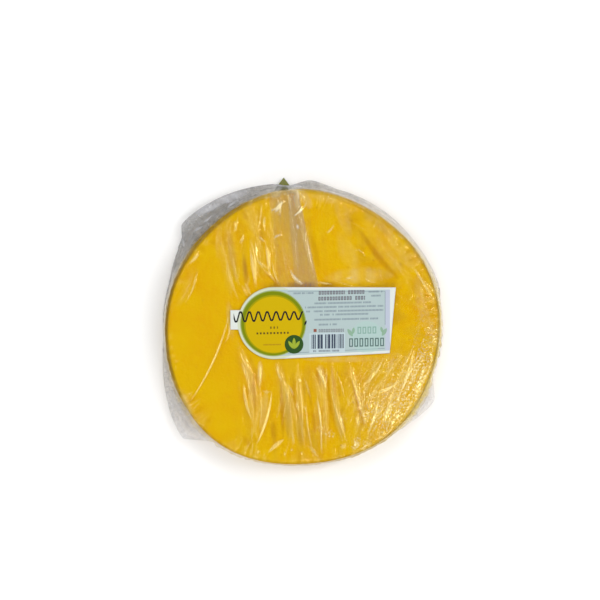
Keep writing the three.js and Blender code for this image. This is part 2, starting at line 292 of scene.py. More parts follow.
# Broad low gathers, in mm: start, end, width, height, sideways bow, and where the crest lies, -1 to 1
GATHERS = (
    # from the label up to the rim
    (-38, 27, -45, 74, 9, 0.35, 0.02, 0.3), (-28, 27, -31, 84, 8, 0.45, -0.03, -0.5),
    (-21, 30, -25, 62, 5, 0.25, 0.04, 0.4), (-15, 27, -20, 84, 8, 0.35, 0.02, -0.2),
    (-8, 30, -13, 60, 5, 0.25, -0.05, 0.5), (-1, 27, -8, 86, 9, 0.35, 0.02, -0.3),
    (10, 27, -3, 86, 6, 0.5, 0, 0.5), (31, 55, 21, 86, 6, 0.3, 0.04, 0),
    (-54, 66, -43, 17, 6.5, 0.4, 0.03, 0.4), (-49, 70, -51, 41, 5, 0.3, -0.03, -0.3),
    # and down to it
    (-41, -6, -27, -62, 9, 0.8, 0.04, 0.6), (-30, -17, -25, -72, 8, 0.7, -0.03, -0.5),
    (-26, -33, -32, -70, 6, 0.6, 0.05, 0.4), (-16, -18, -5, -76, 9, 0.8, 0.03, 0.3),
    (-11, -24, -16, -58, 4, 0.5, 0.06, 0), (-1, -18, 4, -77, 8, 0.7, -0.02, -0.4),
    (5, -22, 13, -54, 5, 0.5, 0.04, 0.3), (11, -18, 15, -78, 7, 0.7, 0.02, 0.3),
    (20, -17, 27, -72, 7, 0.7, -0.03, -0.3), (28, -17, 40, -62, 7, 0.6, 0.02, 0.4),
    (48, -16, 33, -70, 7, 0.7, -0.03, 0.2), (-9, -35, -2, -69, 5.5, 0.6, 0.02, 0.5),
    # in the crushed corner, and on the right
    (78, -10, 58, -48, 5, 0.7, 0.03, 0.2), (71, -8, 52, -58, 5, 0.8, -0.03, 0.3),
    (64, -14, 43, -40, 4, 0.6, 0.04, -0.2), (42, -30, 60, -27, 4, 0.5, 0.1, 0),
    (44, 76, 73, 33, 9, 0.5, -0.05, 0.2), (44, 75, 74, 32, 6, 0.4, -0.06, 0.3),
    (21, 87, 31, 54, 7, 0.3, 0.02, 0.3), (24, 62, 39, 30, 12, 0.3, -0.06, -0.3),
    (38, 74, 72, 28, 9, 0.3, -0.08, 0.3), (-66, 40, -77, 12, 5, 0.4, 0.05, 0.1),
)

# Thin creases, in mm: start, end, width, height and sideways bow
CREASES = (
    # above the label
    (-31, 56, -28, 24, 2.6, 0.7, 0.05), (-28, 53, -26, 41, 2.2, 0.5, -0.05),
    (-26, 41, -19, 35, 2, 0.5, 0.1), (-20, 51, -19, 36, 2.2, 0.55, 0.02),
    (-20, 38, -15, 28, 2.2, 0.55, -0.06), (-6, 37, 2, 27, 2.4, 0.7, -0.18),
    (-19, 71, -7, 79, 2.4, 0.6, 0.1), (-12, 80, -13, 69, 2.4, 0.6, 0), (1, 77, -5, 69, 2.4, 0.65, 0.1),
    (-39, 69, -42, 59, 2.8, 0.6, 0.08), (-35, 59, -38, 53, 2, 0.45, 0),
    (-62, 47, -69, 39, 2.8, 0.65, 0.05), (-64, 38, -72, 15, 2.4, 0.4, 0.06),
    (-46, 45, -38, 17, 2.6, 0.5, -0.04), (-36, 27, -33, 20, 2.4, 0.6, 0),
    (24, 29, 44, 27, 2.2, 0.55, -0.1), (62, 62, 78, 38, 2.2, 0.4, 0.08),
    (68, 39, 81, 15, 2.6, 0.5, 0.05), (-24, 80, -27, 60, 2, 0.4, 0.04), (33, 49, 40, 44, 2, 0.4, 0.2),
    (-16, 56, -11, 58, 2, 0.4, 0.1), (-26, 57, -21, 53, 2, 0.6, 0), (16, 59, 19, 62, 2, 0.4, -0.1),
    (-23, 69, -22, 60, 2, 0.5, 0), (-14, 86, -5, 78, 2.2, 0.6, 0.05), (-9, 87, -6, 74, 2, 0.55, 0),
    (10, 29, 20, 27.5, 1.8, 0.5, 0), (-3, 84, 3, 78, 2, 0.5, 0.1), (75, 30, 83, 19, 2.2, 0.6, 0.05),
    (58, 57, 65, 55, 2, 0.4, 0.15), (39, 32, 47, 28.5, 2, 0.6, -0.1),
    # and below it
    (9, -23, 16, -40, 3, 0.8, 0.08), (10, -42, 13, -76, 2.2, 0.6, 0.03),
    (19, -38, 30, -73, 2.2, 0.6, -0.03), (31, -24, 42, -63, 2.6, 0.65, -0.03),
    (49, -40, 41, -67, 2.2, 0.6, 0.04), (51, -19, 39, -36, 2.4, 0.65, 0.05),
    (61, -31, 46, -40, 2.2, 0.6, 0.12), (70, -13, 57, -45, 2.4, 0.6, 0.04),
    (76, -16, 59, -47, 2.4, 0.7, -0.06), (78, -26, 69, -43, 2.2, 0.5, 0.04),
    (57, -45, 52, -58, 2.8, 0.7, 0.05), (59, -19, 52, -32, 2, 0.4, 0), (65, -32, 61, -42, 2, 0.5, 0),
    (73, -34, 62, -52, 2.2, 0.55, -0.06), (81, -14, 77, -27, 2.2, 0.45, 0),
    (54, -43, 43, -60, 2.2, 0.5, 0.05), (62, -49, 51, -63, 2.2, 0.5, -0.05),
    (-44, 10, -69, -46, 2.8, 0.65, 0.05), (-44, 4, -47, -9, 2.2, 0.5, 0.1),
    (-37, -14, -31, -27, 2.6, 0.65, -0.05), (-35, -34, -30, -57, 2.6, 0.65, -0.03),
    (-25, -22, -26, -37, 2.4, 0.6, 0.06), (-18, -39, -28, -73, 2.6, 0.7, 0.06),
    (-15, -25, -12, -34, 2, 0.4, 0.1), (-10, -68, -20, -76, 2.4, 0.6, 0.05),
    (-2, -27, 1, -63, 2.8, 0.55, 0.03), (3, -44, 8, -78, 2.4, 0.55, -0.03),
    (22, -27, 27, -44, 2.4, 0.45, 0.05),
)

# Veils of pale film, duller film, bands of painted shade and glints of painted highlight, in mm:
# start, end, width, strength and sideways bow
VEILS = (
    (-25, -19, -25.5, -38, 5.5, 1, 0), (13, -22, 12.5, -39, 6.5, 0.9, 0),
    (-21, -37, -25, -66, 6.5, 1, 0), (-35, -18, -29, -56, 6, 0.7, 0.03), (10, -42, 12, -70, 7, 0.5, 0),
    (28, -22, 36, -56, 8, 0.5, 0), (-31.5, 56, -28, 26, 4, 0.8, 0), (-21, 53, -19, 34, 4, 0.7, 0),
    (28, 57, 38, 31, 11, 0.5, -0.05), (45, 64, 68, 31, 8, 0.5, -0.05), (-44, 64, -38, 30, 5, 0.25, 0),
    (-26, 82, 6, 84, 10, 1.6, 0.06), (-15, 70, -12, 80, 6, 0.9, 0), (-5, 84, 2, 68, 6, 0.9, 0),
    (0, 84, 34, 77, 7, 0.7, -0.03), (52, -46, 47, -60, 6, 1.3, 0), (-32, 84, -31, 74, 4, 1.5, 0),
    (14, 31, 58, 33, 13, 1.5, 0.03), (0, -19, 56, -19, 5, 1.3, 0), (-1, 86, 7, 74, 8, 1.5, 0),
    (-36, 74, -18, 56, 17, 0.7, 0), (72, 36, 82, -8, 8, 0.7, -0.05), (-74, -38, -67, -55, 7, 1.2, 0),
    (-42, -8, -45, 18, 6, 0.9, 0),
)
DULLS = (
    (-8, -37, -7, -70, 7, 1, 0), (-1, -50, 0, -74, 7, 0.7, 0), (5, -60, 9, -78, 9, 0.7, 0),
    (20, -36, 26, -70, 6, 0.6, 0), (-44, 60, -40, 28, 6, 0.8, 0), (-36, 48, -34, 26, 4, 0.8, 0),
    (4, -20, 3, -44, 6, 0.5, 0), (33, 80, 55, 57, 8, 0.7, 0), (-7, 84, 2, 28, 9, 0.4, 0),
)
SHADES = (
    (-29.5, -22, -28, -54, 2.6, 1, 0), (-12.5, -30, -10.5, -70, 3.4, 1, 0),
    (5, -34, 7, -52, 2.6, 0.8, 0), (31, -30, 40, -63, 3, 1, 0), (35, 64, 62, 30, 5, 0.9, -0.04),
    (-35, 46, -33, 26, 4, 0.8, 0), (19, -22, 22, -44, 3, 0.8, 0), (-24, 36, -12, 27, 3, 0.8, 0),
    (-1, 40, 6, 27, 3, 0.5, 0), (-17, -56, -16, -71, 6, 0.7, 0), (7, -48, 9, -66, 3.4, 0.8, 0),
    (-36, -66, -31, -73, 4, 0.6, 0), (-19, 83, -17, 72, 3.4, 0.8, 0), (-25, 62, -24, 52, 4, 0.6, 0),
    (6, 62, 12, 34, 5, 0.5, 0),
)
GLINTS = (
    # above the label
    (-16, 72, -11, 78.5, 2.6, 1, 0), (-19.5, 72.6, -13, 75.5, 1.4, 0.8, 0),
    (4, 78.5, -4.5, 70, 2, 1, 0.08), (-2.4, 65, -1.3, 61.5, 2, 0.9, 0), (-2, 86, -1.3, 79, 2.4, 0.7, 0),
    (-22.4, 70, -22.8, 63, 2, 0.8, 0), (-35, 57.6, -37, 52.6, 2, 0.8, 0),
    (-28, 54, -27.3, 45, 1.6, 0.9, 0.03), (-25.8, 57.4, -22.4, 53.6, 1.8, 0.8, 0),
    (-22.2, 54, -19.5, 33, 2.2, 0.8, 0.03), (-31.2, 49, -28.4, 26.5, 2.8, 1, 0.02),
    (-27.6, 43.6, -22.8, 37, 1.8, 0.9, 0.03), (-23.2, 37.5, -16, 30, 1.8, 0.7, 0),
    (-18, 42, -13.4, 27, 1.8, 0.8, -0.03), (-6.5, 37, 2.6, 27.5, 2, 1, -0.12),
    (-17, 55.8, -11.6, 58.2, 1.6, 0.6, 0.1), (15.8, 59.6, 21, 65, 2, 0.7, -0.1),
    (27, 30.8, 33, 32, 1.8, 0.8, 0), (9.8, 28.9, 19, 27.6, 1.6, 0.8, 0),
    (-31, 83.6, -31.4, 80, 2, 0.9, 0), (-21.7, 84.4, -21, 79.5, 2.4, 0.6, 0),
    (-40.8, 67, -39.8, 60, 2.4, 0.7, 0), (-42, 45, -37.5, 25, 1.6, 0.5, -0.03),
    (-62.5, 47, -68, 40, 2.8, 0.9, 0.05), (-64, 36, -70, 18, 1.6, 0.5, 0.05),
    (-34.5, 29, -31, 20.5, 2, 0.9, 0), (69, 38, 80, 17, 2, 0.6, 0.05),
    # below it
    (-35.4, -34, -30, -57, 2, 1, -0.05), (-36.8, -20, -32, -34, 2.8, 0.7, 0.02),
    (-34, -21.6, -30.2, -41.6, 1.4, 0.5, -0.02), (-25.3, -19.5, -25, -34, 3.2, 0.8, 0),
    (-24.3, -38.5, -25.4, -62, 1.5, 0.5, 0.02), (-18, -38.5, -28, -72, 2.2, 1, 0.06),
    (-24, -38, -17.8, -38.5, 1.8, 0.6, -0.15), (-19.8, -76.5, -10.4, -68.4, 3, 0.9, 0.05),
    (-14.4, -22.6, -13.8, -27.4, 2, 1, 0), (-14.7, -26, -11.6, -32.6, 1.6, 0.9, 0),
    (-1.6, -30.8, 0.6, -32.8, 2.2, 1, 0), (-8.4, -34, -4.4, -42, 2, 0.8, 0.05),
    (-7.2, -36.3, -8.4, -44.4, 1.6, 0.5, 0), (-2.5, -45, -1.6, -51, 2.4, 0.8, 0),
    (1.2, -47.4, 3.8, -51, 1.8, 0.6, 0), (11, -22.5, 13, -31, 3.2, 1, 0),
    (15.8, -23.6, 14.7, -38.4, 1.6, 0.8, 0.04), (10.1, -42.6, 12.8, -64, 1.8, 1, 0.02),
    (12.7, -60, 12.8, -77, 1.6, 0.7, 0), (2, -30, 6.6, -43.6, 1.4, 0.6, 0),
    (-5.5, -63, -3.8, -71.4, 1.6, 0.6, 0), (4.2, -72, 11.2, -78.6, 1.8, 0.7, 0),
    (-26.6, -75, -25, -75.8, 1.8, 1, 0), (-6.6, -74.6, -4.8, -75.4, 1.6, 1, 0),
    (-9.9, -76, -9.7, -78, 1.6, 0.9, 0), (0.6, -75.6, 0.6, -78, 1.6, 0.9, 0),
    (9, -23.5, 15.5, -38, 1.6, 0.6, 0.06), (33, -27, 41, -58, 1.8, 0.7, -0.03),
    (-44.4, 8, -68, -44, 1.5, 0.7, 0.05), (51, -18, 39.5, -35, 2.2, 0.9, 0.05),
    (49, -42, 41, -66, 2, 0.9, 0.03), (24, -51, 28, -65, 1.8, 1, -0.03),
    (34.5, -54, 36.2, -60, 3, 0.7, 0), (29.3, -43, 30, -48, 2, 0.6, 0),
    (24.4, -72.8, 28.4, -71.8, 2.6, 0.9, 0), (32, -71.4, 36.6, -70.2, 2.4, 0.8, 0),
    # in the crushed corner
    (70.5, -12, 62.4, -38, 2.6, 0.8, 0.04), (75.6, -20, 70, -42, 2.2, 0.9, 0.03),
    (80.4, -20, 72.6, -40, 2, 0.7, -0.03), (62.4, -30, 45.6, -39.6, 1.8, 0.9, 0.1),
    (56.4, -45, 50.4, -59, 4, 1, 0.03), (63, -37, 58, -56, 2, 0.7, -0.03),
    (69, -42, 63.8, -53.4, 2.2, 0.8, 0.03), (62.4, -52, 54.6, -59, 2.2, 0.8, -0.04),
    (79, -14, 80.8, -21, 2.2, 0.7, 0), (66, -22, 60, -36, 1.8, 0.6, 0.03),
    (54, -31, 47, -38, 1.6, 0.5, 0),
)

# Highlights painted on the ears, in mm: start, end, width and sideways bow
LIT_EARS = (
    (-67, 70, -54, 79, 3, 0.04), (-52, 77.5, -40, 79, 1.6, 0.05), (-77, 64, -76, 52, 2.5, 0.05),
    (-20, 89, 2, 88, 4, 0.05), (79, -38, 70, -56, 3, 0), (-56, 77, -30, 85.5, 8, 0.03),
    (-66, 70, -46, 80, 5, 0), (-67, 60, -60, 63, 2, 0.1), (-62, 66, -55, 71, 2, -0.1),
    (-74, 57, -72, 49, 2, 0), (-46, 74, -38, 80, 2.2, 0.1),
)


def ear_share(ear, angle):
    """How much of an ear's reach the rim has in each direction."""
    peak, _, before, after, _ = ear
    turn = (np.degrees(angle) - peak + 180) % 360 - 180
    share = turn / np.where(turn < 0, before, after)
    return np.clip(1 + 0.4 * EAR_BLUNTNESS - np.hypot(share, EAR_BLUNTNESS), 0, None) ** 1.2


def bag_margin(angle):
    """How far the rim stands out from the stack's edge."""
    margin = MARGIN_MEAN + MARGIN_SWING * np.cos(angle - math.radians(MARGIN_PEAK))
    margin += sum(ear[1] * MM * ear_share(ear, angle) for ear in EARS)
    return np.maximum(LEAST_MARGIN, TORTILLA_RADIUS + margin - stack_radius(angle))


def rim_height(angle):
    """How high the rim lies, lifted at the ears' tips."""
    return RIM_HEIGHT + sum(ear[4] * MM * ear_share(ear, angle) ** 2 for ear in EARS)


def ease(value, low, high):
    """0 below low, 1 above high, and a smooth step between them."""
    t = np.clip((value - low) / (high - low), 0, 1)
    return t * t * (3 - 2 * t)


def spline(points, along):
    """A Catmull-Rom curve through points that change from vertex to vertex."""
    points = np.array([np.broadcast_to(p, along.shape) for p in points])
    points = np.vstack((2 * points[:1] - points[1:2], points, 2 * points[-1:] - points[-2:-1]))
    step = np.minimum((along * (len(points) - 3)).astype(int), len(points) - 4)
    t = along * (len(points) - 3) - step
    a, b, c, d = (np.take_along_axis(points, (step + k)[None], 0)[0] for k in range(4))
    return b + t / 2 * (c - a + t * (2 * a - 5 * b + 4 * c - d + t * (3 * (b - c) + d - a)))


def film_wall(angle, along):
    """Distance out from the stack's edge and height, from the upper face down to the rim."""
    margin, rim = bag_margin(angle), rim_height(angle)
    spare, drop = margin - LEAST_MARGIN, FILM_TOP - rim
    slack = 0.5 * np.sin(5 * angle + 1) + 0.35 * np.sin(13 * angle) + 0.3 * np.sin(23 * angle + 2)
    outs = (-FLAT_INSET, (-2.6 + 0.8 * slack) * MM, (0.45 + 0.15 * slack) * MM,
            0.9 * MM + 0.25 * spare, 1.1 * MM + 0.55 * spare, margin)
    heights = (FILM_TOP, FILM_TOP - 0.3 * MM, FILM_TOP - 3.3 * MM,
               rim + 0.45 * drop, rim + 0.16 * drop, rim)
    return spline(outs, along), spline(heights, along)


def along_fold(x, y, line, width, bow):
    """Where each place lies along a fold, as 0 at its ends and 1 in its middle, and across it, as
    -1 to 1 between its edges."""
    run = np.subtract(line[2:], line[:2])
    length = math.hypot(*run)
    along = ((x - line[0]) * run[0] + (y - line[1]) * run[1]) / length ** 2
    body = np.clip(4 * along * (1 - along), 0, 1)
    off = ((y - line[1]) * run[0] - (x - line[0]) * run[1]) / length - bow * length * body
    return body, off / (width / 2 * body ** 0.6 + 1e-6)


def label_pull(x, y):
    """0 where the label holds the film flat, and 1 clear of it."""
    beyond_x = np.maximum(np.maximum(STRIP_LEFT - x, x - LABEL_RIGHT), 0)
    beyond_y = np.maximum(np.maximum(LABEL_LOW - y, y - LABEL_HIGH), 0)
    beyond_round = np.hypot(x - ROUND_X, y - ROUND_Y) - ROUND_RADIUS
    return ease(np.minimum(np.hypot(beyond_x, beyond_y), beyond_round), -1 * MM, 2.5 * MM)


def settle(spots, rest, normal, held, excess):
    """Lets a sheet that is a little too large for its place find its wrinkles. Its threads keep
    their lengths, it stays on the outer side of what it wraps, and stiffness smooths it."""
    def cut(step, end):
        return slice(step if end else 0, None if end or not step else -step)

    ties = []
    for down, across in ((0, 1), (1, 0), (1, 1), (1, -1)):
        a = cut(down, 0), cut(abs(across), across < 0)
        b = cut(down, 1), cut(abs(across), across > 0)
        length = np.sqrt(((spots[b] - spots[a]) ** 2).sum(-1)) * (1 + excess(a, b))
        ties.append((a, b, length))
    free = held[..., None]
    for _ in range(SETTLE_ROUNDS):
        push = np.zeros_like(spots)
        for a, b, length in ties:
            gap = spots[b] - spots[a]
            reach = np.sqrt((gap ** 2).sum(-1))
            fix = gap * (0.5 - 0.5 * length / reach)[..., None]
            push[a] += fix
            push[b] -= fix
        spots = spots + push * PUSH * free
        bend = spots - rest
        for _ in range(2):
            edge = np.pad(bend, ((1, 1), (1, 1), (0, 0)), mode="edge")
            bend = bend - (edge[2:, 1:-1] + edge[:-2, 1:-1] + edge[1:-1, 2:] + edge[1:-1, :-2]) / 4
        spots = spots - bend * STIFFNESS * free
        off = ((spots - rest) * normal).sum(-1)
        spots = spots + (np.clip(off * CLING, 0, MOST_LIFT) - off)[..., None] * normal
    return spots


bm = bmesh.new()
verts, share, angle = eased_disc(bm, FRONT_CELLS)
edge = stack_radius(angle)
along = np.clip((share - FLAT_SHARE) / (1 - FLAT_SHARE), 0, 1)
out, height = film_wall(angle, along)
on_top = share <= FLAT_SHARE
radius = np.where(on_top, share / FLAT_SHARE * (edge - FLAT_INSET), edge + out)
crowned = FILM_TOP + CROWN * (1 - (radius / TORTILLA_RADIUS) ** 2)
levelled = ease(radius, 0.8 * edge, edge - FLAT_INSET)
height = np.where(on_top, crowned * (1 - levelled) + FILM_TOP * levelled, height)

# The film laid out flat: the same radius on top, and the length of the wall beyond it
later = film_wall(angle, np.clip(along + WALL_STEP, 0, 1))
sooner = film_wall(angle, np.clip(along - WALL_STEP, 0, 1))
fall_out, fall_down = later[0] - sooner[0], sooner[1] - later[1]
slope = np.hypot(fall_out, fall_down)
lean_out, lean_up = np.where(on_top, 0, fall_down / slope), np.where(on_top, 1, fall_out / slope)
wall_length = np.hypot(bag_margin(angle) + FLAT_INSET, FILM_TOP - rim_height(angle)) * WALL_BULGE
laid = np.where(on_top, radius, edge - FLAT_INSET + along * wall_length)
flat_x, flat_y = laid * np.cos(angle), laid * np.sin(angle)

# Where the film has length to spare, and which way its folds run
x_mm, y_mm, laid_mm = flat_x / MM, flat_y / MM, laid / MM
upper = ease(y_mm, 18, 30) * (1 - ease(x_mm, 10, 20)) * ease(x_mm + 0.25 * y_mm, -46, -30)
lower = ease(-y_mm, 12, 24) * ease(x_mm, -44, -34) * (1 - ease(x_mm, 46, 56))
crumpled = 1 - ease(np.hypot(x_mm - CRUSHED_X, y_mm - CRUSHED_Y), CRUSHED_INSIDE, CRUSHED_REACH)
right = ease(x_mm + 0.5 * y_mm, 46, 66) * (1 - crumpled)
shoulder = ease(laid_mm, 70, 88)
wall = ease(along, 0.1, 0.4)
ear = np.clip(sum(e[1] / 10 * ear_share(e, angle) for e in EARS), 0, 1) * wall
fold_turn = np.radians(np.where(y_mm > 0, FOLDS_ABOVE, FOLDS_BELOW + 0.4 * x_mm))
fold_turn = fold_turn * (1 - crumpled) + math.radians(FOLDS_CRUSHED) * crumpled
round_right = right * (y_mm > -20) * (1 - shoulder)
fold_turn = fold_turn * (1 - round_right) + (angle + math.pi / 2) * round_right
fold_x = np.cos(fold_turn) * (1 - shoulder) + np.cos(angle) * shoulder
fold_y = np.sin(fold_turn) * (1 - shoulder) + np.sin(angle) * shoulder
uneven = np.clip(1 + 1.6 * rough(flat_x, flat_y, 12 * MM, 4), 0, None)
across_folds = (0.004 + 0.02 * np.maximum(upper, lower) + 0.04 * crumpled + 0.012 * right) * uneven
across_folds = np.maximum(across_folds, 0.03 * shoulder) * (1 - wall) + (0.04 + 0.02 * ear) * wall
along_folds = (0.002 + 0.02 * crumpled + 0.004 * right) * uneven * (1 - wall) + 0.015 * ear + 0.01 * wall


def strands(across, along, width, length, key):
    """Long uneven swells, from 0 to about 1. width and length are in mm."""
    return np.abs(rough(across / width, along / length, 1, key))


def pinches(across, along, width, length, key, breadth=0.22):
    """Long thin ridges with flat film between them, from 0 to 1. width and length are in mm."""
    return np.clip(1 - strands(across, along, width, length, key) / breadth, 0, 1)


fan = np.where(y_mm > 0, x_mm + 0.12 * (y_mm - 26), x_mm * (1 - 0.008 * np.minimum(y_mm + 20, 0)))
round_way = angle * BAG_RADIUS / MM
steep_way = (x_mm * math.sin(STEEP_WAY) - y_mm * math.cos(STEEP_WAY),
             x_mm * math.cos(STEEP_WAY) + y_mm * math.sin(STEEP_WAY))
patches = ease(rough(flat_x, flat_y, 17 * MM, 14), -0.25, 0.45)
down_swells = strands(round_way, laid_mm, 6.5, 34, 9) + 0.4 * strands(round_way, laid_mm, 2.6, 12, 10)
down_swells *= (1.5 - 0.9 * wall + 0.8 * ear) * shoulder * np.maximum(uneven, ear)
seed = (0.35 * upper + 0.5 * lower) * strands(fan, y_mm, 5.5, 55, 6) * patches
seed += 0.5 * right * strands(laid_mm, round_way, 5, 40, 8) * patches
seed += 0.6 * crumpled * strands(*steep_way, 4, 16, 12) * (0.4 + patches)
seed = np.maximum(seed * (1 - shoulder * 0.6), down_swells)
for *line, width, high, bow, lean in GATHERS:
    body, across = along_fold(x_mm, y_mm, line, width, bow)
    flank = np.where(across < lean, (across + 1) / (1 + lean), (1 - across) / (1 - lean))
    seed = np.maximum(seed, high * body ** 0.7 * ease(flank, -0.1, 1))

grid = (FRONT_CELLS + 1, FRONT_CELLS + 1)


def spare_length(a, b):
    """How much longer than its place a thread of the film is, between two sets of vertices."""
    run_x, run_y = (flat_x.reshape(grid)[k] for k in (a, b)), (flat_y.reshape(grid)[k] for k in (a, b))
    dx, dy = -np.subtract(*run_x), -np.subtract(*run_y)
    fx, fy = fold_x.reshape(grid)[a], fold_y.reshape(grid)[a]
    with_fold = (dx * fx + dy * fy) ** 2 / ((dx ** 2 + dy ** 2) * (fx ** 2 + fy ** 2))
    return along_folds.reshape(grid)[a] * with_fold + across_folds.reshape(grid)[a] * (1 - with_fold)


loose = label_pull(flat_x, flat_y) * (1 - ease(along, 0.93, 1))
normal = np.column_stack((lean_out * np.cos(angle), lean_out * np.sin(angle), lean_up))
rest = np.column_stack((radius * np.cos(angle), radius * np.sin(angle), height))
spots = rest + normal * (seed * MM * loose)[:, None]
shape = (*grid, 3)
spots = settle(spots.reshape(shape), rest.reshape(shape), normal.reshape(shape),
               loose.reshape(grid), spare_length).reshape(-1, 3)

# The thin creases stand on the settled gathers
sparkle = ease(-y_mm, 48, 60) * ease(x_mm, 4, 16) * ease(rough(flat_x, flat_y, 11 * MM, 17), -0.1, 0.3)
sparkle = np.maximum(sparkle, crumpled * (0.3 + 0.7 * patches)) * (1 - wall)
thin = 0.13 * np.maximum(upper, lower) * pinches(fan, y_mm, 8, 30, 20, 0.12) * uneven
thin += 0.12 * right * pinches(laid_mm, round_way, 6, 26, 21, 0.15) * uneven
thin += 0.3 * crumpled * pinches(*steep_way, 4, 14, 22, 0.2)
thin += 0.12 * sparkle * pinches(x_mm, y_mm, 2.2, 2.7, 23, 0.35)
thin += 0.25 * shoulder * (1 - wall) * pinches(round_way, laid_mm, 6, 14, 24, 0.2) * uneven
thin += 0.3 * ear * (pinches(round_way, laid_mm, 11, 16, 25, 0.12)
                     + pinches(laid_mm, round_way, 5, 26, 26, 0.16))
lines, veils, dull, shade, glints = np.zeros((5, len(thin)))
for *line, width, high, bow in CREASES:
    body, across = along_fold(x_mm, y_mm, line, width, bow)
    thin = np.maximum(thin, high * body ** 0.7 * np.clip(1 - np.abs(across), 0, 1) ** 1.3)
    lines = np.maximum(lines, high * body ** 0.7 * np.clip(1.3 - np.abs(across) * width / 0.9, 0, 1))
for *line, width, high, bow, lean in GATHERS:
    body, across = along_fold(x_mm, y_mm, line, width, bow)
    crest = np.clip(1 - np.abs(across - lean) * width / 2.2, 0, 1)
    thin = np.maximum(thin, 0.3 * high * body ** 0.7 * crest)
    paler_side = 0.55 + 0.45 * ease(across * np.sign(lean + 0.01), -0.7, 0.8)
    veils = np.maximum(veils, 0.5 * body * np.clip(1 - np.abs(across) ** 3, 0, 1) * paler_side)
for field, marks in ((veils, VEILS), (dull, DULLS), (shade, SHADES), (glints, GLINTS)):
    for *line, width, strength, bow in marks:
        body, across = along_fold(x_mm, y_mm, line, width, bow)
        np.maximum(field, strength * body ** 0.7 * ease(1 - np.abs(across), 0, 0.7), out=field)
veils *= np.clip(0.8 + rough(x_mm, y_mm / 4, 6, 28), 0.25, 1.3) * (1 - 0.85 * crumpled)
spots += normal * (thin * MM * loose)[:, None]
lift = ((spots - rest) * normal).sum(1)
place(verts, *spots.T)


def spread(field, cells):
    """Each place's mean with the places that lie so many cells off on its four sides."""
    wide = np.pad(field.reshape(grid), cells, mode="edge")
    here = slice(cells, -cells)
    beside = wide[2 * cells:, here] + wide[:-2 * cells, here]
    beside = beside + wide[here, 2 * cells:] + wide[here, :-2 * cells]
    return (beside.ravel() + field) / 5


def slanted(at_rim, at_label):
    """How far a place lies to the right of an edge of the double film, in mm."""
    return x_mm - (at_rim + (at_label - at_rim) * (DOUBLE_TOP - y_mm) / DOUBLE_LENGTH)


def towards(degrees, power):
    """1 in one direction from the middle, and less and less away from it."""
    return np.clip(np.cos(angle - math.radians(degrees)), 0, 1) ** power


# Where the film lies double, and where it is seen past the stack's edge and over it
doubled = ease(slanted(*DOUBLE_LEFT), -1.5, 1.5) * (1 - ease(slanted(*DOUBLE_RIGHT), -0.3, 0.3))
doubled *= ease(flat_y, 24 * MM, 27 * MM)
second = ease(slanted(*DOUBLE_AGAIN), -0.8, 0.8)
past_edge = radius - edge
beyond = ease(past_edge, 0.5 * MM, 3 * MM)
within = 1 - beyond
near_edge = ease(past_edge, -1.5 * MM, 0) * (1 - ease(past_edge, 1.5 * MM, 4 * MM))
north_west, north_east, west, east = towards(140, 1.5), towards(62, 2), towards(172, 2), towards(-15, 2)

# The tops of the creases, which whiten and get a painted highlight, and the dips beside them, which
# get painted shade, faint streaks, a painted shadow along the label's upper edge, the golden right
# side, and the uneven veil and the seam past the stack's edge
crest = ease(lift - spread(lift, 1), 0.008 * MM, 0.07 * MM)
hollow = ease(spread(spread(lift, 4), 2) - spread(spread(lift, 1), 1), 0.03 * MM, 0.22 * MM)
hollow *= (1 - wall) * (1 - 0.75 * shoulder) * (1 - 0.8 * crumpled) * (1 - 0.5 * veils)
hollow = np.maximum(hollow, shade)
bands = ease(rough(fan * MM, flat_y / 9, 5 * MM, 15), -0.1, 0.5) * np.maximum(upper, lower)
bands += ease(rough(laid, round_way * MM, 8 * MM, 18), -0.3, 0.4) * right
# a painted shadow on the film along the label's upper edge
gap = ease(flat_y, 25.2 * MM, 26.2 * MM) * (1 - ease(y_mm, 27, 30)) * ease(x_mm, -26, -12) * (x_mm < 58)
gap *= np.clip(0.7 + 1.2 * rough(x_mm, y_mm, 7, 29), 0.1, 1) * (1 - 0.7 * ease(x_mm, 10, 34))
golden = right * (1 - shoulder) * ease(rough(laid_mm, round_way, 13, 18), -0.1, 0.5)
veil = 0.7 + 0.5 * rough(laid_mm, round_way / 4, 4, 16) + 0.35 * rough(laid_mm, round_way / 3, 1.6, 27)
veil = np.clip(veil, 0.2, 1.3) * beyond
seam = ease(past_edge - bag_margin(angle), -0.9 * MM, -0.5 * MM)
lit = np.zeros_like(thin)
for *line, width, bow in LIT_EARS:
    body, across = along_fold(*spots.T[:2] / MM, line, width, bow)
    lit = np.maximum(lit, body * ease(1 - np.abs(across), 0, 0.8))
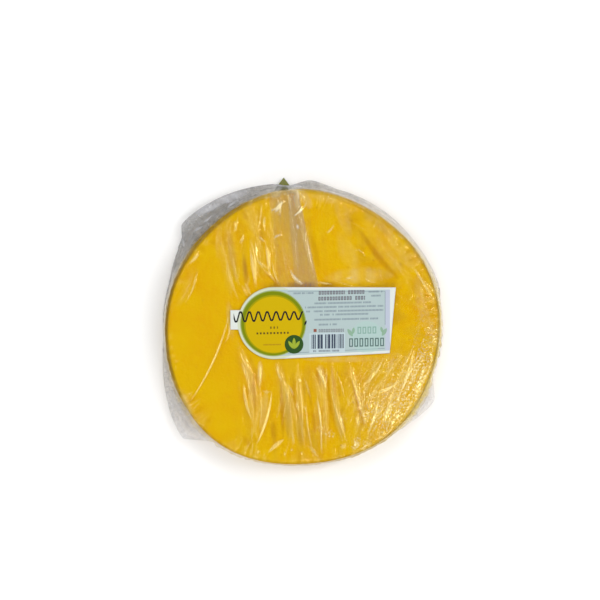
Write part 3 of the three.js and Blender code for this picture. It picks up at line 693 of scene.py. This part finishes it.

# The layers of haze, painted shade and painted highlight: how much of each, and its colour
clinging = 0.005 + 0.03 * ease(lift, 0.1 * MM, 0.9 * MM) + 0.05 * bands
layers = (
    (np.maximum(clinging, 0.05 * wall) * within, (0.3, 0.22, 0.1)),
    # the double film, then painted shade in the folds' hollows, and their duller, golden and painted-shade
    # parts
    (doubled * (0.12 + 0.12 * ease(y_mm, 50, 84)) * within, (0.4, 0.31, 0.22)),
    (0.1 * second * doubled * within, (0.2, 0.24, 0.34)),
    (0.13 * golden * within, (0.44, 0.16, 0.0)),
    (0.16 * dull * within, (0.32, 0.21, 0.1)),
    (0.26 * hollow * (1 - doubled) * within, (0.4, 0.1, 0.0)),
    # the painted shadow along the label's upper edge
    (0.4 * gap, (0.24, 0.1, 0.02)),
    # the pale veils, then highlights painted on the creases' tops, on the creases and as glints
    ((0.15 * veils + 0.02 * crumpled) * within, (0.85, 0.74, 0.36)),
    ((0.1 * crest + 0.12 * lines + 0.4 * glints * (1 - doubled)) * within, (0.95, 0.72, 0.2)),
    (0.4 * glints * doubled * within, (0.9, 0.8, 0.58)),
    # past the stack's edge: a grey veil, darkened at the top by painted shade, and denser in the lower ears
    (0.05 * veil, (0.48, 0.48, 0.46)),
    ((0.34 * north_east + 0.4 * north_west) * veil, (0.185, 0.185, 0.18)),
    (0.2 * ear * (y_mm < 0) * veil, (0.21, 0.23, 0.27)),
    # painted shade at the stack's west edge and painted light at its east edge, then creases, highlights
    # painted on the ears, and the seam, with painted shade that darkens it to the north-west
    (0.45 * west * near_edge, (0.18, 0.12, 0.03)),
    (0.65 * east * near_edge, (0.5, 0.36, 0.05)),
    ((0.12 * crest + 0.4 * lit) * beyond, (0.62, 0.62, 0.66)),
    ((0.05 + 0.25 * north_west) * seam, (0.24, 0.24, 0.26)),
)
haze = sum(share for share, _ in layers)
milk = sum(share[:, None] * np.array(colour) for share, colour in layers) / (haze[:, None] + 1e-6)

# The gloss of lifted, creased and outer film, and how crushed it is
gloss = np.maximum(0.15 + 0.85 * ease(lift, 0.1 * MM, 0.5 * MM) + 0.4 * sparkle, ease(along, 0.5, 0.8))
gloss += (4.2 * np.maximum(np.clip(lines, 0, 0.7), 0.6 * glints) + 1.4 * crest) * within
gloss *= 1 - 0.7 * ease(laid_mm, 76, 82) * within * north_west
rim_side = towards(-27, 8) * ease(radius, 66 * MM, 76 * MM) * (1 - wall)
crushed = np.maximum(sparkle * (0.35 + 0.65 * ease(radius, 52 * MM, 76 * MM)), rim_side)


def maths_in(tree):
    """Gives what makes a tree's Math nodes, from numbers and other nodes' outputs."""
    def maths(operation, *values, clamp=False):
        node = tree.nodes.new("ShaderNodeMath")
        node.operation = operation
        node.use_clamp = clamp
        for socket, value in zip(node.inputs, values):
            feed(tree, socket, value)
        return node.outputs[0]
    return maths


def clear_film():
    """Thin clear film. It mirrors the lamps by its slope, and lets the rest through or blurs it. Its
    haze colour also carries painted shade and painted highlights, and its crushed parts painted
    dashes of light.
    """
    material, tree, shader, where = new_material("clear_film", 0.1, 0)
    maths = maths_in(tree)
    axes = tree.nodes.new("ShaderNodeSeparateXYZ")
    tree.links.new(where, axes.inputs[0])
    x, y = axes.outputs["X"], axes.outputs["Y"]

    def mesh_value(name, output="Fac"):
        node = tree.nodes.new("ShaderNodeAttribute")
        node.attribute_name = name
        return node.outputs[output]

    def streaks(across, along, width, length, detail=2):
        """Fine noise drawn out along one direction. Sizes are in metres."""
        spot = tree.nodes.new("ShaderNodeCombineXYZ")
        tree.links.new(maths("DIVIDE", across, width), spot.inputs["X"])
        tree.links.new(maths("DIVIDE", along, length), spot.inputs["Y"])
        return fine_noise(tree, spot.outputs[0], 1, detail)

    # crinkles that run up and down on the flat face, and outwards on the wall
    away = maths("SQRT", maths("ADD", maths("MULTIPLY", x, x), maths("MULTIPLY", y, y)))
    turn = maths("MULTIPLY", maths("ARCTAN2", y, x), TORTILLA_RADIUS)
    on_wall = maths("DIVIDE", maths("SUBTRACT", away, 74 * MM), 8 * MM, clamp=True)
    lengthways = streaks(x, y, 1.5 * MM, 16 * MM)
    outwards = streaks(turn, away, 3 * MM, 7 * MM)
    crinkle = maths("MULTIPLY_ADD", maths("SUBTRACT", outwards, lengthways), on_wall, lengthways)
    haze = maths("MULTIPLY", mesh_value("haze"), maths("MULTIPLY_ADD", crinkle, 0.9, 0.55))

    # crushed film: painted dashes of light in steep bands, where it also mirrors more
    crushed = mesh_value("crushed")
    across = maths("SUBTRACT", maths("MULTIPLY", x, BAND_SINE), maths("MULTIPLY", y, BAND_COSINE))
    upward = maths("ADD", maths("MULTIPLY", x, BAND_COSINE), maths("MULTIPLY", y, BAND_SINE))
    band = streaks(across, upward, 3.2 * MM, 24 * MM, 1)
    dash = streaks(across, upward, 1.05 * MM, 1.4 * MM, 1)
    dashes = maths("MULTIPLY_ADD", dash, 7, maths("MULTIPLY_ADD", band, 4, -5.3), clamp=True)
    dashes = maths("MULTIPLY", dashes, crushed)

    # what it mirrors, what it covers, and the share of the one in the other
    gloss = mesh_value("gloss")
    facing = tree.nodes.new("ShaderNodeLayerWeight")
    facing.inputs["Blend"].default_value = 0.5
    sheen = maths("MULTIPLY_ADD", crushed, -0.65, 0.7)
    sheen = maths("MULTIPLY", maths("POWER", facing.outputs["Facing"], 5), sheen)
    mirrored = maths("MULTIPLY_ADD", dashes, 0.08, maths("MULTIPLY_ADD", gloss, 0.04, sheen))
    cover = maths("ADD", maths("MULTIPLY_ADD", dashes, 0.45, mirrored), haze, clamp=True)
    mirror = maths("DIVIDE", mirrored, cover)
    glint = laid_over(tree, WHITE_GLINT, CORN_GLINT, mesh_value("warm"))
    diffuse = laid_over(tree, mesh_value("milk", "Color"), PAINTED_DASH_LIGHT, dashes)
    tree.links.new(laid_over(tree, diffuse, glint, mirror), shader.inputs["Base Color"])
    grey = tree.nodes.new("ShaderNodeRGBToBW")
    tree.links.new(diffuse, grey.inputs[0])
    body = maths("MULTIPLY", maths("SUBTRACT", 1, mirror), grey.outputs[0])
    tree.links.new(maths("DIVIDE", mirror, maths("ADD", mirror, body)), shader.inputs["Metallic"])
    tree.links.new(cover, shader.inputs["Alpha"])

    facets = tree.nodes.new("ShaderNodeTexVoronoi")
    facets.inputs["Scale"].default_value = 1 / (1.7 * MM)
    tree.links.new(where, facets.inputs["Vector"])
    crush = maths("MULTIPLY", maths("MULTIPLY", facets.outputs["Distance"], crushed), 0.16)
    fine = maths("MULTIPLY", crinkle, maths("SUBTRACT", maths("MINIMUM", gloss, 1), 0.3))
    bump = tree.nodes.new("ShaderNodeBump")
    bump.inputs["Strength"].default_value = 1
    bump.inputs["Distance"].default_value = 0.35 * MM
    tree.links.new(maths("ADD", fine, crush), bump.inputs["Height"])
    tree.links.new(bump.outputs["Normal"], shader.inputs["Normal"])
    tree.links.new(bump.outputs["Normal"], facing.inputs["Normal"])
    return material


def clothe(piece, haze, gloss, warm, crushed, milk):
    """Gives a film piece the values that its material reads at each vertex."""
    for name, values in (("haze", haze), ("gloss", gloss), ("warm", warm), ("crushed", crushed)):
        values = np.broadcast_to(values, len(milk)).astype(np.float32)
        piece.data.attributes.new(name, "FLOAT", "POINT").data.foreach_set("value", values)
    values = np.column_stack((milk, np.ones(len(milk)))).astype(np.float32)
    piece.data.attributes.new("milk", "FLOAT_COLOR", "POINT").data.foreach_set("color", values.ravel())


film = clear_film()
film_front = piece_from(bm, "film_front", film)
clothe(film_front, haze, gloss, within, crushed, milk)
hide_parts("bag")

# ---- The film bag, back ----
# The rest of the bag, under the stack, where its spare width lies in flat creases that run out from
# the seal. It rises to the rim, where it meets the front.

BACK_CELLS = 220
BACK_FLAT_SHARE = 0.82
BACK_INSET = 6 * MM
UNDERSIDE = 0.85 * MM
SEAL_X, SEAL_Y, SEAL_HALF_WIDTH, SEAL_HALF_HEIGHT = -10.6, 60.3, 25.6, 34  # mm
FLAP_END, FLAP_RIM, FLAP_HALF_END, FLAP_HALF_RIM = 40, 84, 13, 44  # mm


def back_profile(angle, along):
    """Distance out from the stack's edge and height, from the flat underside out to the rim."""
    margin, lip = bag_margin(angle), rim_height(angle)
    foot = UNDERSIDE + 0.05 * MM
    outs = (-BACK_INSET, -1.5 * MM, 0.4 * margin, margin)
    heights = (UNDERSIDE, foot, foot + 0.35 * (lip - foot), lip)
    return spline(outs, along), spline(heights, along)


def blend(low, high, mask):
    """Colours between two, by a mask, for each vertex."""
    return low + (np.array(high) - low) * mask[:, None]


bm = bmesh.new()
verts, share, angle = eased_disc(bm, BACK_CELLS)
edge = stack_radius(angle)
along = np.clip((share - BACK_FLAT_SHARE) / (1 - BACK_FLAT_SHARE), 0, 1)
out, height = back_profile(angle, along)
radius = np.where(share <= BACK_FLAT_SHARE, share / BACK_FLAT_SHARE * (edge - BACK_INSET), edge + out)
x, y = radius * np.cos(angle), radius * np.sin(angle)
x_mm, y_mm = x / MM, y / MM
from_seal = np.hypot(x_mm - SEAL_X, y_mm - SEAL_Y)
round_seal = np.arctan2(y_mm - SEAL_Y, x_mm - SEAL_X) * 60

# The back is pressed flat under the folded end and the seal, and creased elsewhere
up_flap = np.clip((y_mm - FLAP_END) / (FLAP_RIM - FLAP_END), 0, 1)
beside = np.abs(x_mm - SEAL_X) - FLAP_HALF_END - (FLAP_HALF_RIM - FLAP_HALF_END) * up_flap
in_flap = ease(y_mm, FLAP_END - 9, FLAP_END - 3) * (1 - ease(beside, 2, 7))
in_seal = np.abs(x_mm - SEAL_X) / SEAL_HALF_WIDTH + np.abs(y_mm - SEAL_Y) / SEAL_HALF_HEIGHT
pressed = np.maximum(in_flap, 1 - ease(in_seal, 1.1, 1.3))
folds = 0.5 * pinches(round_seal, from_seal, 11, 60, 30, 0.25) * ease(from_seal, 20, 45)
folds += 0.25 * pinches(x_mm, y_mm, 16, 24, 31, 0.2) + 0.1 * strands(x_mm, y_mm, 7, 9, 32)
folds *= (1 - pressed) * (1 - ease(along, 0.5, 0.9))
place(verts, x, y, height - folds * MM)
bmesh.ops.reverse_faces(bm, faces=bm.faces)

beyond = ease(radius - edge, 0.5 * MM, 3 * MM)
# past the stack's edge the back is a grey veil, darkened to the north-west by painted shade
haze = (0.05 + 0.35 * folds) * (1 - beyond) + (0.05 + 0.35 * towards(135, 2)) * beyond
milk = blend(np.full((len(angle), 3), (0.3, 0.21, 0.1)), (0.8, 0.66, 0.36), ease(folds, 0.1, 0.5))
milk = blend(milk, (0.2, 0.2, 0.2), beyond)
film_back = piece_from(bm, "film_back", film)
clothe(film_back, haze, 1, 1 - beyond, 0, milk)
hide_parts("bag")

# ---- The bag's folded end ----
# The open end of the bag, of the same film, drawn together in pleats and folded flat over the
# back, where the seal holds it.

FLAP_CELLS = (150, 50)
PLEATS = 7

bm = bmesh.new()
bmesh.ops.create_grid(bm, x_segments=FLAP_CELLS[0], y_segments=FLAP_CELLS[1], size=0.5)
u, v = np.array([vert.co[:2] for vert in bm.verts]).T + 0.5
x_mm = SEAL_X + (2 * u - 1) * (FLAP_HALF_END + (FLAP_HALF_RIM - FLAP_HALF_END) * v)
start = FLAP_END + 1.5 * np.sin(u * 9) + 0.8 * np.sin(u * 23)
reach = np.sqrt((TORTILLA_RADIUS / MM) ** 2 - x_mm ** 2) - 0.5
y_mm = start + (reach - start) * v
pleat = np.abs((u * PLEATS + 0.3 * np.sin(7 * u)) % 1 * 2 - 1)
angle, radius = np.arctan2(y_mm, x_mm), np.hypot(x_mm, y_mm) * MM
edge_height = UNDERSIDE + 0.1 * MM * ease(radius - stack_radius(angle), -4 * MM, 0)
place(bm.verts, x_mm * MM, y_mm * MM, edge_height - (0.12 + 0.16 * pleat) * MM)
bmesh.ops.reverse_faces(bm, faces=[f for f in bm.faces if f.normal.z > 0])
film_end = piece_from(bm, "film_folded_end", film)
tuck = ease(np.abs(pleat - 0.5), 0.3, 0.5)
milk = blend(np.full((len(u), 3), (0.3, 0.22, 0.12)), (0.8, 0.68, 0.4), tuck)
clothe(film_end, 0.08 + 0.12 * pleat + 0.12 * tuck, 1, 1, 0, milk)
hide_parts("bag")

# ---- The label ----
# A satin paper label, stuck across the middle of the front: a strip with a round end and a small
# tab. It is printed with a pale blue field, a yellow disc in a green ring, and plain shapes.

LABEL_THICKNESS = 0.3 * MM
LABEL_GAP = 0.3 * MM
LABEL_CELLS = (150, 48)
TAB_LOW, TAB_HIGH = -0.5 * MM, 11.5 * MM
RIGHT_LOW, RIGHT_HIGH, RIGHT_SLANT = -15.1 * MM, 25.6 * MM, 1.9 * MM
CURL, CURL_REACH = 2.2 * MM, 13 * MM
TAB_SHARE, ROUND_SHARE = 0.1, 0.45  # how far along the grid the tab and the round end stop

PAPER = (0.62, 0.65, 0.61, 1)
PAPER_EDGE = (0.52, 0.56, 0.38, 1)
FIELD_BLUE = (0.376, 0.464, 0.464, 1)
MARGIN_VIOLET = (0.416, 0.456, 0.544, 1)
FRAME_BLUE = (0.128, 0.16, 0.208, 1)
RING_SOFT_EDGE = (0.27, 0.33, 0.1, 1)
RING_GREEN = (0.16, 0.2, 0.002, 1)
RING_YELLOW = (0.3, 0.265, 0.0, 1)
DISC_YELLOW = (0.51, 0.35, 0.0, 1)
DARK_GREEN = (0.024, 0.066, 0.012, 1)
SPRIG_GREEN = (0.28, 0.35, 0.03, 1)
WAVE_BLACK = (0.01, 0.01, 0.012, 1)
DOT_BROWN = (0.08, 0.048, 0.008, 1)
LINE_BROWN = (0.32, 0.16, 0.008, 1)
HEAVY_PRINT = (0.08, 0.056, 0.08, 1)
FINE_PRINT = (0.128, 0.16, 0.2, 1)
BADGE_RED = (0.24, 0.08, 0.056, 1)
SMALL_PRINT = (0.112, 0.096, 0.128, 1)
STRIPES_PALE, STRIPES_DARK = (0.44, 0.53, 0.56, 1), (0.03, 0.04, 0.07, 1)
STRIPES_FOOT = (0.112, 0.128, 0.16, 1)
PALE_GREEN, LEAF_GREEN = (0.336, 0.528, 0.464, 1), (0.176, 0.32, 0.192, 1)
LIGHT_FRAMES, DARK_FRAMES = (0.16, 0.3, 0.24, 1), (0.06, 0.11, 0.1, 1)

tab_join = ROUND_X - math.sqrt(ROUND_RADIUS ** 2 - (TAB_HIGH - ROUND_Y) ** 2)
round_start = math.acos((ROUND_X - tab_join) / ROUND_RADIUS)

bm = bmesh.new()
bmesh.ops.create_grid(bm, x_segments=LABEL_CELLS[0], y_segments=LABEL_CELLS[1], size=0.5)
u, v = np.array([vert.co[:2] for vert in bm.verts]).T + 0.5
round_turn = round_start + (math.pi / 2 - round_start) * (u - TAB_SHARE) / (ROUND_SHARE - TAB_SHARE)
x = np.select((u <= TAB_SHARE, u <= ROUND_SHARE),
              (LABEL_LEFT + (tab_join - LABEL_LEFT) * u / TAB_SHARE,
               ROUND_X - ROUND_RADIUS * np.cos(round_turn)),
              ROUND_X + (LABEL_RIGHT - ROUND_X) * (u - ROUND_SHARE) / (1 - ROUND_SHARE))
rise = np.sqrt(np.clip(ROUND_RADIUS ** 2 - (x - ROUND_X) ** 2, 0, None))
strip = (x - ROUND_X) / (LABEL_RIGHT - ROUND_X)
round_top, round_foot = ROUND_Y + ROUND_RADIUS, ROUND_Y - ROUND_RADIUS
high = np.where(x > ROUND_X, round_top + (RIGHT_HIGH - round_top) * strip,
                np.where(u <= TAB_SHARE, TAB_HIGH, ROUND_Y + rise))
low = np.where(x > ROUND_X, round_foot + (RIGHT_LOW - round_foot) * strip,
               np.minimum(TAB_LOW, ROUND_Y - rise))
y = low + (high - low) * v
x = x + RIGHT_SLANT * np.clip(strip, 0, 1) ** 3 * (v * 2 - 1)
away = np.hypot(LABEL_RIGHT - x, RIGHT_HIGH - y)
curl = CURL * np.clip(1 - away / CURL_REACH, 0, None) ** 2
lie = FILM_TOP + CROWN * (1 - (x ** 2 + y ** 2) / TORTILLA_RADIUS ** 2) + LABEL_GAP + curl
lie += 0.1 * MM * rough(x, y, 14 * MM, 3)
place(bm.verts, x, y, lie)
extruded = bmesh.ops.extrude_face_region(bm, geom=bm.faces)
raised = [e for e in extruded["geom"] if isinstance(e, bmesh.types.BMVert)]
bmesh.ops.translate(bm, verts=raised, vec=(0, 0, LABEL_THICKNESS))
bmesh.ops.recalc_face_normals(bm, faces=bm.faces)
# an extrusion leaves its side faces in no fixed order, so they are sorted by their corners
bm.verts.index_update()
bm.faces.sort(key=lambda face: sum(math.sqrt(corner.index + 2) for corner in face.verts))


def printed_paper():
    """The label's print, worked out from places in millimetres on the label."""
    material, tree, shader, where = new_material("printed_label", 0.45, 0.07)
    maths = maths_in(tree)
    scale = tree.nodes.new("ShaderNodeVectorMath")
    scale.operation = "SCALE"
    scale.inputs["Scale"].default_value = 1 / MM
    tree.links.new(where, scale.inputs[0])
    axes = tree.nodes.new("ShaderNodeSeparateXYZ")
    tree.links.new(scale.outputs[0], axes.inputs[0])
    across, up = axes.outputs["X"], axes.outputs["Y"]
    level = maths("SUBTRACT", up, maths("MULTIPLY", across, 0.022))  # the rows climb a little

    def span(value, low, high):
        return maths("COMPARE", value, (low + high) / 2, (high - low) / 2)

    def both(a, b):
        return maths("MULTIPLY", a, b)

    def block(left, right, bottom, top, height=level):
        return both(span(across, left, right), span(height, bottom, top))

    def disc(x, y, radius):
        far = maths("SQRT", maths("ADD", maths("POWER", maths("SUBTRACT", across, x), 2),
                                  maths("POWER", maths("SUBTRACT", up, y), 2)))
        return maths("LESS_THAN", far, radius)

    def leaf(x, y, degrees, length, width):
        """A pointed leaf, where two discs overlap."""
        radius = (length ** 2 / 4 + width ** 2 / 4) / width
        turn, off = math.radians(degrees), radius - width / 2
        dx, dy = -math.sin(turn) * off, math.cos(turn) * off
        return both(disc(x + dx, y + dy, radius), disc(x - dx, y - dy, radius))

    def ticks(pitch, share):
        return maths("LESS_THAN", maths("FRACT", maths("DIVIDE", across, pitch)), share)

    def words(seed, length, gap=0.36):
        """Broken lines in place of words: bars of uneven length cut by fine gaps."""
        spot = tree.nodes.new("ShaderNodeCombineXYZ")
        tree.links.new(maths("DIVIDE", across, length), spot.inputs["X"])
        spot.inputs["Y"].default_value = seed * 7.3
        bars = maths("GREATER_THAN", fine_noise(tree, spot.outputs[0], 1, 2, "2D"), gap)
        return both(bars, ticks(0.86, 0.72))

    def boxes(left, right, bottom, top, pitch, wall):
        """A row of small upright frames, as many as fit."""
        spot = both(maths("FRACT", maths("DIVIDE", maths("SUBTRACT", across, left), pitch)), pitch)
        width = pitch * 0.74
        hollow = both(span(spot, wall, width - wall), span(level, bottom + wall, top - wall))
        frames = both(span(spot, 0, width), maths("SUBTRACT", 1, hollow))
        return both(block(left, right, bottom, top), frames)

    colour = PAPER

    def ink(mask, ink_colour, strength=1.0):
        nonlocal colour
        colour = laid_over(tree, colour, ink_colour, both(mask, strength))

    # the edge of the round end, then the blue field, its violet right margin and a thin dark frame
    ink(disc(-16.5, 3.5, 22.6), PAPER_EDGE, 0.8)
    bottom_slope = maths("MULTIPLY_ADD", across, 0.0503, -16.2)
    field = both(span(across, -16.5, 55.3), both(maths("GREATER_THAN", up, bottom_slope),
                                                  maths("LESS_THAN", up, 24.2)))
    ink(maths("MAXIMUM", field, disc(-16.5, 3.5, 20.6)), FIELD_BLUE)
    ink(both(field, maths("GREATER_THAN", across, 52.4)), MARGIN_VIOLET)
    frame_low = maths("SUBTRACT", up, bottom_slope)
    ink(both(span(across, -8, 52), span(frame_low, 1.3, 1.65)), FRAME_BLUE, 0.7)
    ink(block(-8, 52.3, 23.0, 23.3, height=up), FRAME_BLUE, 0.6)
    ink(block(52.1, 52.45, 2.5, 23.2, height=up), FRAME_BLUE, 0.7)

    # the yellow disc in its green ring, and the dark green disc with a plain sprig
    ink(disc(-17.0, 3.35, 20.4), RING_SOFT_EDGE)
    ink(disc(-17.0, 3.3, 19.8), RING_GREEN)
    ink(disc(-16.8, 2.8, 18.2), RING_YELLOW)
    ink(disc(-16.7, 2.6, 17.4), DISC_YELLOW)
    ink(disc(-4.1, -9.6, 5.8), DARK_GREEN)
    for degrees, x, y in ((90, -4.1, -8.6), (125, -5.9, -10.0), (55, -2.3, -10.0)):
        ink(leaf(x, y, degrees, 6.0, 2.0), SPRIG_GREEN)

    # a hand-drawn wave and small dots, where a name would stand
    waves = 1.14  # radians to the millimetre
    swell = maths("MULTIPLY_ADD", across, -0.018, 2.2)
    phase = maths("MULTIPLY", across, waves)
    steep = both(maths("COSINE", phase), both(swell, waves))
    stretch = maths("SQRT", maths("MULTIPLY_ADD", steep, steep, 1))
    off_wave = maths("SUBTRACT", maths("SUBTRACT", level, 8.2), both(maths("SINE", phase), swell))
    stroke = maths("LESS_THAN", maths("DIVIDE", maths("ABSOLUTE", off_wave), stretch), 0.52)
    ink(both(stroke, span(across, -41.5, 1.5)), WAVE_BLACK)
    ink(leaf(3.0, 3.6, 68.755, 3.4, 1.2), WAVE_BLACK)
    ink(both(block(-28, -7, -2.9, -1.7), ticks(2.1, 0.5)), DOT_BROWN)
    ink(both(block(-20, -14, 0.4, 1.8), ticks(2.1, 0.45)), DOT_BROWN, 0.8)
    ink(both(block(-23, -12, -9.9, -9.0), words(9, 1.6, 0.3)), LINE_BROWN, 0.8)

    # rows of print: the two heavy rows, then the fine ones
    for low, left, right in ((20.8, 11.2, 27.4), (20.8, 29.4, 39.6), (17.2, 11.0, 31.8), (17.2, 33.8, 39.9)):
        ink(boxes(left, right, low, low + 2.3, 1.75, 0.52), HEAVY_PRINT, 0.85)
    rows = ((-4.7, 8.3, 21.4), (41.8, 50.5, 21.4), (43.5, 49.5, 18.9), (8.5, 43.5, 14.9),
            (2.7, 51.1, 12.5), (3.5, 51.1, 10.0), (12.0, 41.8, 7.8), (8.3, 48.0, 4.8), (11.2, 22.5, 1.7))
    for seed, (left, right, low) in enumerate(rows, 3):
        ink(both(block(left, right, low, low + 1.15), words(seed, 2.2)), FINE_PRINT, 0.7)
    ink(block(8.0, 9.9, -2.2, -0.3), BADGE_RED)
    ink(boxes(11.2, 26.8, -2.4, -0.5, 1.5, 0.4), SMALL_PRINT, 0.8)

    # plain stripes in a pale block
    ink(block(5.4, 27.4, -15.2, -3.0), STRIPES_PALE)
    stripe = tree.nodes.new("ShaderNodeTexWhiteNoise")
    stripe.noise_dimensions = "1D"
    tree.links.new(maths("FLOOR", maths("DIVIDE", across, 0.36)), stripe.inputs["W"])
    stripes = maths("GREATER_THAN", stripe.outputs["Value"], 0.3)
    ink(both(block(6.4, 26.6, -12.6, -3.8), stripes), STRIPES_DARK, 0.95)
    ink(both(block(7.5, 25.5, -14.6, -13.4), words(21, 2.2)), STRIPES_FOOT, 0.8)

    # a pale green disc with leaves and two rows of frames
    ink(disc(41.0, -5.2, 10.0), PALE_GREEN, 0.35)
    for degrees, x, y, size in ((125, 30.6, -2.4, 5.6), (80, 32.6, -1.2, 4.2), (58, 51.8, -2.0, 5.6),
                                (105, 50.2, -0.6, 4.0)):
        ink(leaf(x, y, degrees, size, size * 0.42), LEAF_GREEN, 0.75)
    ink(boxes(35.2, 47.4, -3.9, 0.4, 3.1, 0.62), LIGHT_FRAMES, 0.8)
    ink(boxes(30.0, 52.4, -11.9, -6.6, 3.2, 0.72), DARK_FRAMES, 0.9)

    tree.links.new(colour, shader.inputs["Base Color"])
    grained(tree, shader, where, 160, 4, 0.25, 0.2 * MM)
    return material


label = piece_from(bm, "front_label", printed_paper())
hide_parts("label")

# ---- The closing seal ----
# A green paper diamond that holds the folded end of the bag down at the back. Its top point
# stands out past the rim. It is printed with a paler line just inside its edge.

SEAL_GREEN, SEAL_MOTTLE = (0.152, 0.16, 0.016, 1), (0.216, 0.224, 0.028, 1)
SEAL_LINE, SEAL_BORDER = (0.336, 0.336, 0.08, 1), (0.136, 0.144, 0.016, 1)
LINE_STARTS, LINE_ENDS = 0.84, 0.87  # from the seal's middle to its edge, as 0 to 1


def green_paper():
    """The seal's mottled green paper, with its printed line and border."""
    material, tree, shader, where = new_material("green_seal", 0.45, 0.5)
    maths = maths_in(tree)
    axes = tree.nodes.new("ShaderNodeSeparateXYZ")
    tree.links.new(where, axes.inputs[0])

    def share_of_half(axis, middle, half):
        away = maths("ABSOLUTE", maths("SUBTRACT", axes.outputs[axis], middle * MM))
        return maths("DIVIDE", away, half * MM)

    out = maths("ADD", share_of_half("X", SEAL_X, SEAL_HALF_WIDTH),
                share_of_half("Y", SEAL_Y, SEAL_HALF_HEIGHT))
    mottle = grained(tree, shader, where, 260, 4, 0.3, 0.2 * MM)
    colour = laid_over(tree, SEAL_GREEN, SEAL_MOTTLE, mottle)
    for over, starts in ((SEAL_LINE, LINE_STARTS), (SEAL_BORDER, LINE_ENDS)):
        colour = laid_over(tree, colour, over, maths("GREATER_THAN", out, starts))
    tree.links.new(colour, shader.inputs["Base Color"])
    return material


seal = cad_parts["closing_seal"]
seal.data.materials.clear()
seal.data.materials.append(green_paper())

# ---- The floor, the lamps and the camera ----
# A plain pale floor, soft boxes and narrow strips of light round the pack, and a camera straight
# above it. The pale world looks brighter to the camera and in mirrors than the light that it gives.

FLOOR_RADIUS = 0.6
FLOOR_WHITE = (0.96, 0.96, 0.96, 1)
WORLD_LIGHT, WORLD_SEEN = (0.56, 0.56, 0.56, 1), (1.15, 1.15, 1.15, 1)
VIEW_WIDTH = 372 * MM
CAMERA_HEIGHT = 2.5
AIM = (-0.4 * MM, 17.8 * MM, 20 * MM)

bm = bmesh.new()
bmesh.ops.create_circle(bm, cap_ends=True, segments=96, radius=FLOOR_RADIUS)
floor_mesh = bpy.data.meshes.new("floor")
bm.to_mesh(floor_mesh)
bm.free()
floor = bpy.data.objects.new("floor", floor_mesh)
bpy.context.scene.collection.objects.link(floor)
pale_floor, _, shader, _ = new_material("pale_floor", 0.9, 0.1)
shader.inputs["Base Color"].default_value = FLOOR_WHITE
floor_mesh.materials.append(pale_floor)


def soft_box(name, azimuth, elevation, distance, width, height, power):
    """An oblong lamp that faces the middle. Angles are in degrees, the rest in metres and watts."""
    lamp = bpy.data.lights.new(name, "AREA")
    lamp.shape = "RECTANGLE"
    lamp.size, lamp.size_y, lamp.energy = width, height, power
    stand = bpy.data.objects.new(name, lamp)
    bpy.context.scene.collection.objects.link(stand)
    turn, tilt = math.radians(azimuth), math.radians(elevation)
    stand.location = (distance * math.cos(tilt) * math.cos(turn),
                      distance * math.cos(tilt) * math.sin(turn), distance * math.sin(tilt))
    stand.rotation_euler = (math.pi / 2 - tilt, 0, turn + math.pi / 2)


soft_box("left_box", 172, 50, 1.3, 0.45, 1.2, 3.1)
soft_box("right_box", 8, 50, 1.3, 0.45, 1.2, 3.1)
soft_box("top_box", 95, 52, 1.3, 1.1, 0.4, 0.7)
soft_box("low_box", 278, 44, 1.6, 1.5, 0.8, 8.4)
soft_box("right_strip", 18, 50, 1.25, 0.07, 0.8, 2.75)
soft_box("top_strip", 80, 56, 1.25, 0.7, 0.07, 2)

world = bpy.data.worlds.new("studio")
bpy.context.scene.world = world
world.use_nodes = True
nodes, links = world.node_tree.nodes, world.node_tree.links
light, seen = nodes["Background"], nodes.new("ShaderNodeBackground")
light.inputs["Color"].default_value = WORLD_LIGHT
seen.inputs["Color"].default_value = WORLD_SEEN
path = nodes.new("ShaderNodeLightPath")
seen_or_mirrored = nodes.new("ShaderNodeMath")
links.new(path.outputs["Is Camera Ray"], seen_or_mirrored.inputs[0])
links.new(path.outputs["Is Glossy Ray"], seen_or_mirrored.inputs[1])
mix = nodes.new("ShaderNodeMixShader")
links.new(seen_or_mirrored.outputs[0], mix.inputs["Fac"])
links.new(light.outputs[0], mix.inputs[1])
links.new(seen.outputs[0], mix.inputs[2])
links.new(mix.outputs[0], nodes["World Output"].inputs["Surface"])

camera = bpy.data.cameras.new("camera")
camera.lens = camera.sensor_width * (CAMERA_HEIGHT - AIM[2]) / VIEW_WIDTH
stand = bpy.data.objects.new("camera", camera)
stand.location = (AIM[0], AIM[1], CAMERA_HEIGHT)
bpy.context.scene.collection.objects.link(stand)
bpy.context.scene.camera = stand
bpy.context.scene.view_settings.view_transform = "Standard"
